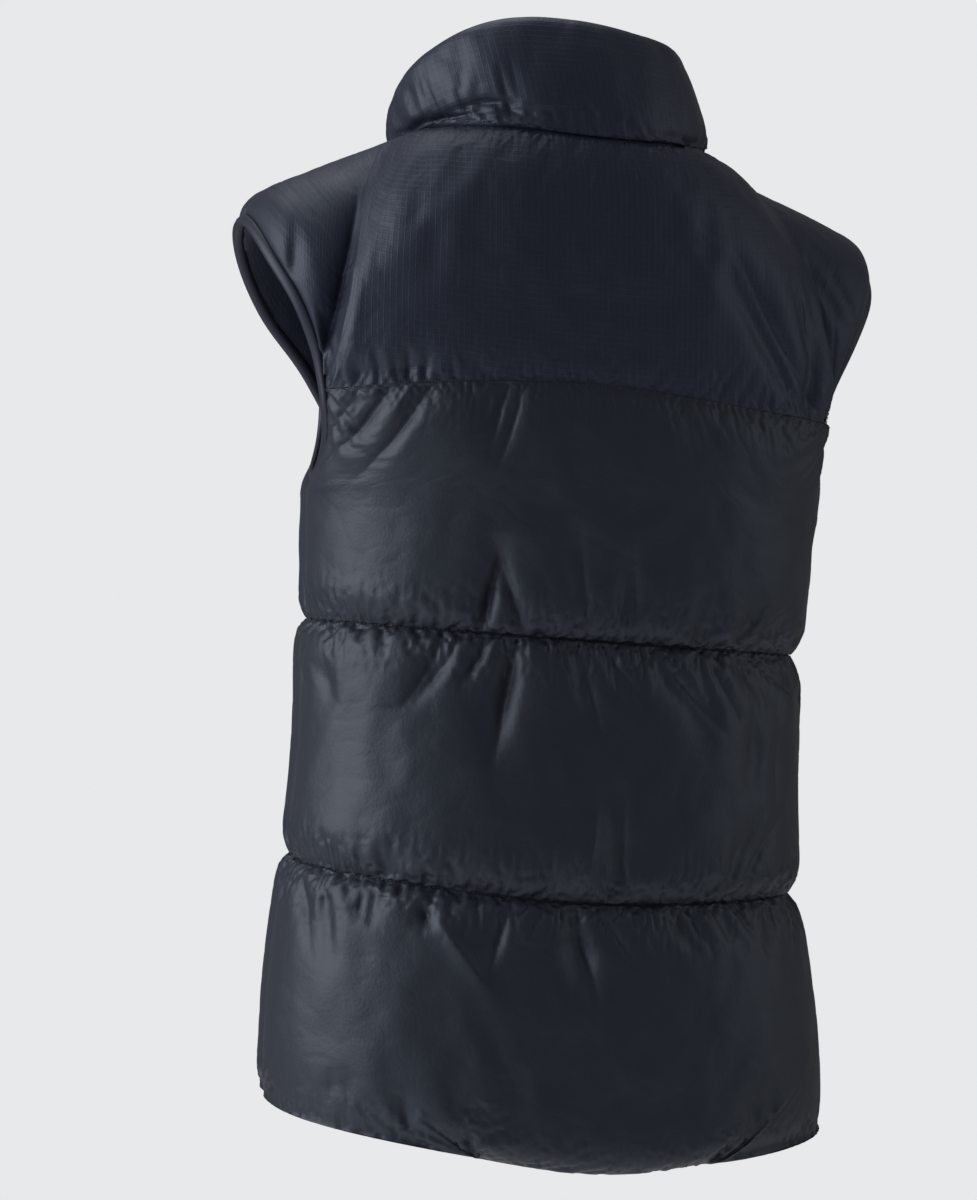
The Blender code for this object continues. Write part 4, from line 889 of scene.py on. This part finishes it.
def ring_faces(stations, sides, closed):
    """Quads between rings of points that are numbered one after the other."""
    at = np.arange(stations * sides).reshape(stations, sides)
    at = np.concatenate([at, at[:1]]) if closed else at
    beside = np.roll(at, -1, 1)
    return np.stack([at[:-1], beside[:-1], beside[1:], at[1:]], -1).reshape(-1, 4)


def path_lengths(path):
    """Distance along a path of points from its first one to each."""
    return np.concatenate([[0], np.cumsum(np.linalg.norm(np.diff(path, axis=0), axis=1))])


def read_off(points, reach, distances):
    """Points at distances along a path, straight between its own points, which lie at the reaches."""
    return np.stack([np.interp(distances, reach, points[:, k]) for k in range(3)], -1)


thread, _ = new_material("sewing thread", (0.020, 0.023, 0.032), 0.60)
STITCH_PITCH, STITCH_LENGTH, STITCH_RADIUS, STITCH_SIDES = 0.0032, 0.0024, 0.00028, 6
STITCH_STATIONS, STITCH_RADII = np.array([-0.5, -0.32, 0.32, 0.5]), np.array([0.35, 1.0, 1.0, 0.35])
ASKEW = (0.31, 0.52, 0.79)                # a direction that no stitch lies along


def add_stitches(name, path, pitch=STITCH_PITCH, length=STITCH_LENGTH, closed=False):
    """Equal stitches along a path of points: each is a six-sided bar with pointed ends."""
    path = np.concatenate([path, path[:1]]) if closed else path
    reach = path_lengths(path)
    start = np.arange(pitch / 2, reach[-1] - pitch / 2, pitch)
    centre = read_off(path, reach, start[:, None] + length * STITCH_STATIONS)
    along = unit(centre[:, -1:] - centre[:, :1])
    across = unit(np.cross(along, ASKEW))
    turn = np.linspace(0, 2 * np.pi, STITCH_SIDES + 1)[:-1][:, None]
    circle = across[:, :, None] * np.cos(turn) + np.cross(along, across)[:, :, None] * np.sin(turn)
    points = centre[:, :, None] + circle * (STITCH_RADIUS * STITCH_RADII[None, :, None, None])
    count = len(STITCH_STATIONS) * STITCH_SIDES
    first = count * np.arange(len(start))[:, None]
    faces = (ring_faces(len(STITCH_STATIONS), STITCH_SIDES, False) + first[..., None]).reshape(-1, 4).tolist()
    ends = np.stack([np.arange(STITCH_SIDES)[::-1], np.arange(count - STITCH_SIDES, count)])
    faces += (ends + first[..., None]).reshape(-1, STITCH_SIDES).tolist()
    stitches = new_piece(name, points.reshape(-1, 3), faces, thread)
    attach(stitches, "vest")


STITCH_INSET = 0.0012
for side in ("left", "right"):
    points, normals, inward = armhole_run(side)
    section = [BINDING_GAP + BINDING_WIDTH * np.cos(turn) * inward + BINDING_HALF * np.sin(turn) * normals
               for turn in BINDING_ARC]
    rings = np.stack([points + normals * SEAM_THICKNESS * BINDING_LEVEL + part for part in section], 1)
    strip = new_piece(f"folded_binding_{side}", posed(rings).reshape(-1, 3),
                      ring_faces(*rings.shape[:2], True).tolist(), binding_cloth)
    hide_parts(f"armhole_binding_{side}")
    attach(strip, "vest")
    height = SEAM_THICKNESS * BINDING_LEVEL + BINDING_HALF + STITCH_RADIUS
    seam = points + inward * STITCH_INSET + normals * height
    add_stitches(f"armhole_stitches_{side}", posed(seam), closed=True)

# ====================================================================== zip
# A closed front zip, sewn between the two fronts from the hem to the collar's top: two woven tapes,
# moulded teeth, a lacquered slider with its pull tab, and the box at the lower end.
TAPE_THICKNESS, SLIDER_HEIGHT, SLIDER_TALL, BOX_TALL = 0.0015, -0.0430, 0.0130, 0.013
TOOTH_PITCH, TOOTH_SIZE, TOOTH_SIDE = 0.0018, (0.0040, 0.0013, 0.0012), 0.0007
ZIP_STEPS, ZIP_FOOT, TOOTH_GAP = 60, 0.004, 0.0001
OUT_STEP, UP_STEP = 0.001, 0.0005         # the ways over which a tooth's directions are taken
webbing, _ = new_material("zip tape", (0.014, 0.016, 0.022), 0.80)
lacquer, _ = new_material("black zip metal", (0.110, 0.112, 0.118), 0.30, metallic=1.0)
moulded, _ = new_material("moulded teeth", (0.030, 0.031, 0.036), 0.30)
for node, material in (("zip_tape_left", webbing), ("zip_tape_right", webbing), ("zip_slider", lacquer),
                       ("zip_pull", lacquer), ("zip_box", lacquer)):
    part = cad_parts[node]
    part.data.materials.clear()
    part.data.materials.append(material)


def zip_line(lift):
    """The line up the closed zip at centre front, from the hem to the collar's top, a lift off the tapes'
    inner side: body, yoke and collar walls one after the other."""
    shares = np.linspace(1, 0, ZIP_STEPS)
    lines = []
    for wall, downs in ((body_wall, np.linspace(-HEM[2] - ZIP_FOOT, -YOKE_SEAM[2], 2 * ZIP_STEPS)),
                        (yoke_wall, shares[1:]), (collar_wall, shares[1:-1])):
        angle = np.full(downs.shape, np.pi)
        lines.append(wall(angle, downs) + outward(wall, angle, downs) * lift)
    return np.concatenate(lines)


# Each tooth is a block across centre front, every other one from the other tape.
line, above = zip_line(TAPE_THICKNESS), zip_line(TAPE_THICKNESS + OUT_STEP)
reach = path_lengths(line)
place = np.arange(TOOTH_PITCH, reach[-1] - TOOTH_PITCH, TOOTH_PITCH)
foot = read_off(line, reach, place)
out = unit(read_off(above, reach, place) - foot)
up = unit(read_off(line, reach, place + UP_STEP) - foot)
across = np.cross(up, out)
clear = np.abs(foot[:, 2] - SLIDER_HEIGHT) > SLIDER_TALL / 2 + TOOTH_SIZE[1]
clear &= foot[:, 2] > foot[0, 2] + BOX_TALL
middle = foot + across * (TOOTH_SIDE * (-1) ** np.arange(len(foot)))[:, None]
#    half widths across, half heights up and depths out: the far end is tapered
corners = [(-1, -1, 0.0), (1, -1, 0.0), (1, 1, 0.0), (-1, 1, 0.0),
           (-0.8, -0.6, 1.0), (0.8, -0.6, 1.0), (0.8, 0.6, 1.0), (-0.8, 0.6, 1.0)]
points = np.stack([middle + across * (x * TOOTH_SIZE[0] / 2) + up * (y * TOOTH_SIZE[1] / 2)
                   + out * (TOOTH_GAP + z * TOOTH_SIZE[2]) for x, y, z in corners], 1)[clear]
block = np.array([(0, 3, 2, 1), (4, 5, 6, 7), (0, 1, 5, 4), (1, 2, 6, 5), (2, 3, 7, 6), (3, 0, 4, 7)])
faces = (block + len(corners) * np.arange(len(points))[:, None, None]).reshape(-1, 4).tolist()
teeth = new_piece("zip_teeth", posed(points).reshape(-1, 3), faces, moulded)
teeth.data.shade_flat()
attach(teeth, "vest")

# ====================================================================== sewing
# Thread along the seams that run round the body: a lockstitch at the bottom of each quilting channel,
# and a finer one along the yoke seams, which stops short of their corners and of the zip.
ZIP_REACH = 0.055                         # radians from centre front to a panel's edge, and a little more
CORNER_CLEARANCE, SEAM_STEPS = 0.1, 400
YOKE_STITCH_PITCH, YOKE_STITCH_LENGTH = 0.0024, 0.0016


def seam_path(seam, lift, first, last):
    """A path along a seam round the body, a lift off the inner wall, between two angles."""
    angle = np.linspace(first, last, SEAM_STEPS)
    down = -seam_height(seam, angle)
    return posed(body_wall(angle, down) + outward(body_wall, angle, down) * lift)


for name, seam in (("upper_channel", UPPER_SEAM), ("lower_channel", LOWER_SEAM)):
    path = seam_path(seam, CHANNEL_THICKNESS + STITCH_RADIUS, ZIP_REACH - np.pi, np.pi - ZIP_REACH)
    add_stitches(f"stitches_{name}", path)
for name, first, last in (("back", -BACK_CORNER + CORNER_CLEARANCE, BACK_CORNER - CORNER_CLEARANCE),
                          ("left", FRONT_CORNER + CORNER_CLEARANCE, np.pi - 3 * ZIP_REACH),
                          ("right", 3 * ZIP_REACH - np.pi, -FRONT_CORNER - CORNER_CLEARANCE)):
    path = seam_path(YOKE_SEAM, YOKE_SEAM_THICKNESS, first, last)
    add_stitches(f"stitches_yoke_{name}", path, YOKE_STITCH_PITCH, YOKE_STITCH_LENGTH)

# ====================================================================== studio
# A pale room with a wide soft light at the left of the back, a faint one at the right, and the camera
# behind the wearer, a little to the left.
CAMERA_AZIMUTH, CAMERA_DISTANCE, CAMERA_SIDE, CAMERA_HEIGHT = 163.0, 2.52, -0.0731, -0.3305
CAMERA_LENS = 104.2
turn = math.radians(CAMERA_AZIMUTH)
behind = mathutils.Vector((math.sin(turn), -math.cos(turn), 0.0))
rightwards = mathutils.Vector((math.cos(turn), math.sin(turn), 0.0))
lens = bpy.data.cameras.new("camera")
lens.lens, lens.sensor_width = CAMERA_LENS, 36.0
camera = bpy.data.objects.new("camera", lens)
camera.location = behind * CAMERA_DISTANCE + rightwards * CAMERA_SIDE
camera.location.z = CAMERA_HEIGHT
camera.rotation_euler = behind.to_track_quat("Z", "Y").to_euler()
bpy.context.scene.collection.objects.link(camera)
bpy.context.scene.camera = camera


def add_light(name, place, target, size, power, colour):
    """An area light at a place, in metres right, behind and up of the nape as the camera sees it."""
    light = bpy.data.lights.new(name, "AREA")
    light.shape, light.size, light.size_y = "RECTANGLE", *size
    light.energy, light.color = power, colour
    lamp = bpy.data.objects.new(name, light)
    lamp.location = rightwards * place[0] + behind * place[1] + mathutils.Vector((0, 0, place[2]))
    lamp.rotation_euler = (lamp.location - mathutils.Vector(target)).to_track_quat("Z", "Y").to_euler()
    bpy.context.scene.collection.objects.link(lamp)


add_light("key", (-2.35, 0.85, 0.35), (0, 0, -0.35), (2.4, 2.4), 77, (1.0, 0.99, 0.97))
add_light("fill", (2.3, 0.15, 0.2), (0, 0, -0.35), (0.9, 2.0), 6.5, (0.96, 0.98, 1.0))
add_light("top", (-0.3, -0.4, 2.0), (0, 0, -0.2), (1.6, 1.6), 20, (1.0, 1.0, 1.0))

FLOOR_HEIGHT, FLOOR_RADIUS, FLOOR_SIDES = -1.5, 2.2, 96
turns = np.linspace(0, 2 * np.pi, FLOOR_SIDES + 1)[:-1]
level = np.full(FLOOR_SIDES, FLOOR_HEIGHT)
rim = np.stack([FLOOR_RADIUS * np.cos(turns), FLOOR_RADIUS * np.sin(turns), level], -1)
floor_mesh = bpy.data.meshes.new("floor")
floor_mesh.from_pydata(rim.tolist(), [], [list(range(FLOOR_SIDES))])
floor = bpy.data.objects.new("floor", floor_mesh)
bpy.context.scene.collection.objects.link(floor)
paper, shader = new_material("pale paper", (0.80, 0.80, 0.80), 0.90)
shader.inputs["Emission Color"].default_value = (1.0, 1.0, 1.0, 1.0)
shader.inputs["Emission Strength"].default_value = 0.25
floor_mesh.materials.append(paper)

world = bpy.data.worlds.new("studio")
world.use_nodes = True
bpy.context.scene.world = world
sky = world.node_tree.nodes["Background"]
sky.inputs["Color"].default_value = (0.97, 0.98, 1.0, 1.0)
seen = world.node_tree.nodes.new("ShaderNodeLightPath")
strength = world.node_tree.nodes.new("ShaderNodeMapRange")
strength.inputs["To Min"].default_value, strength.inputs["To Max"].default_value = 0.17, 0.83
world.node_tree.links.new(seen.outputs["Is Camera Ray"], strength.inputs["Value"])
world.node_tree.links.new(strength.outputs["Result"], sky.inputs["Strength"])
bpy.context.scene.view_settings.view_transform = "Standard"
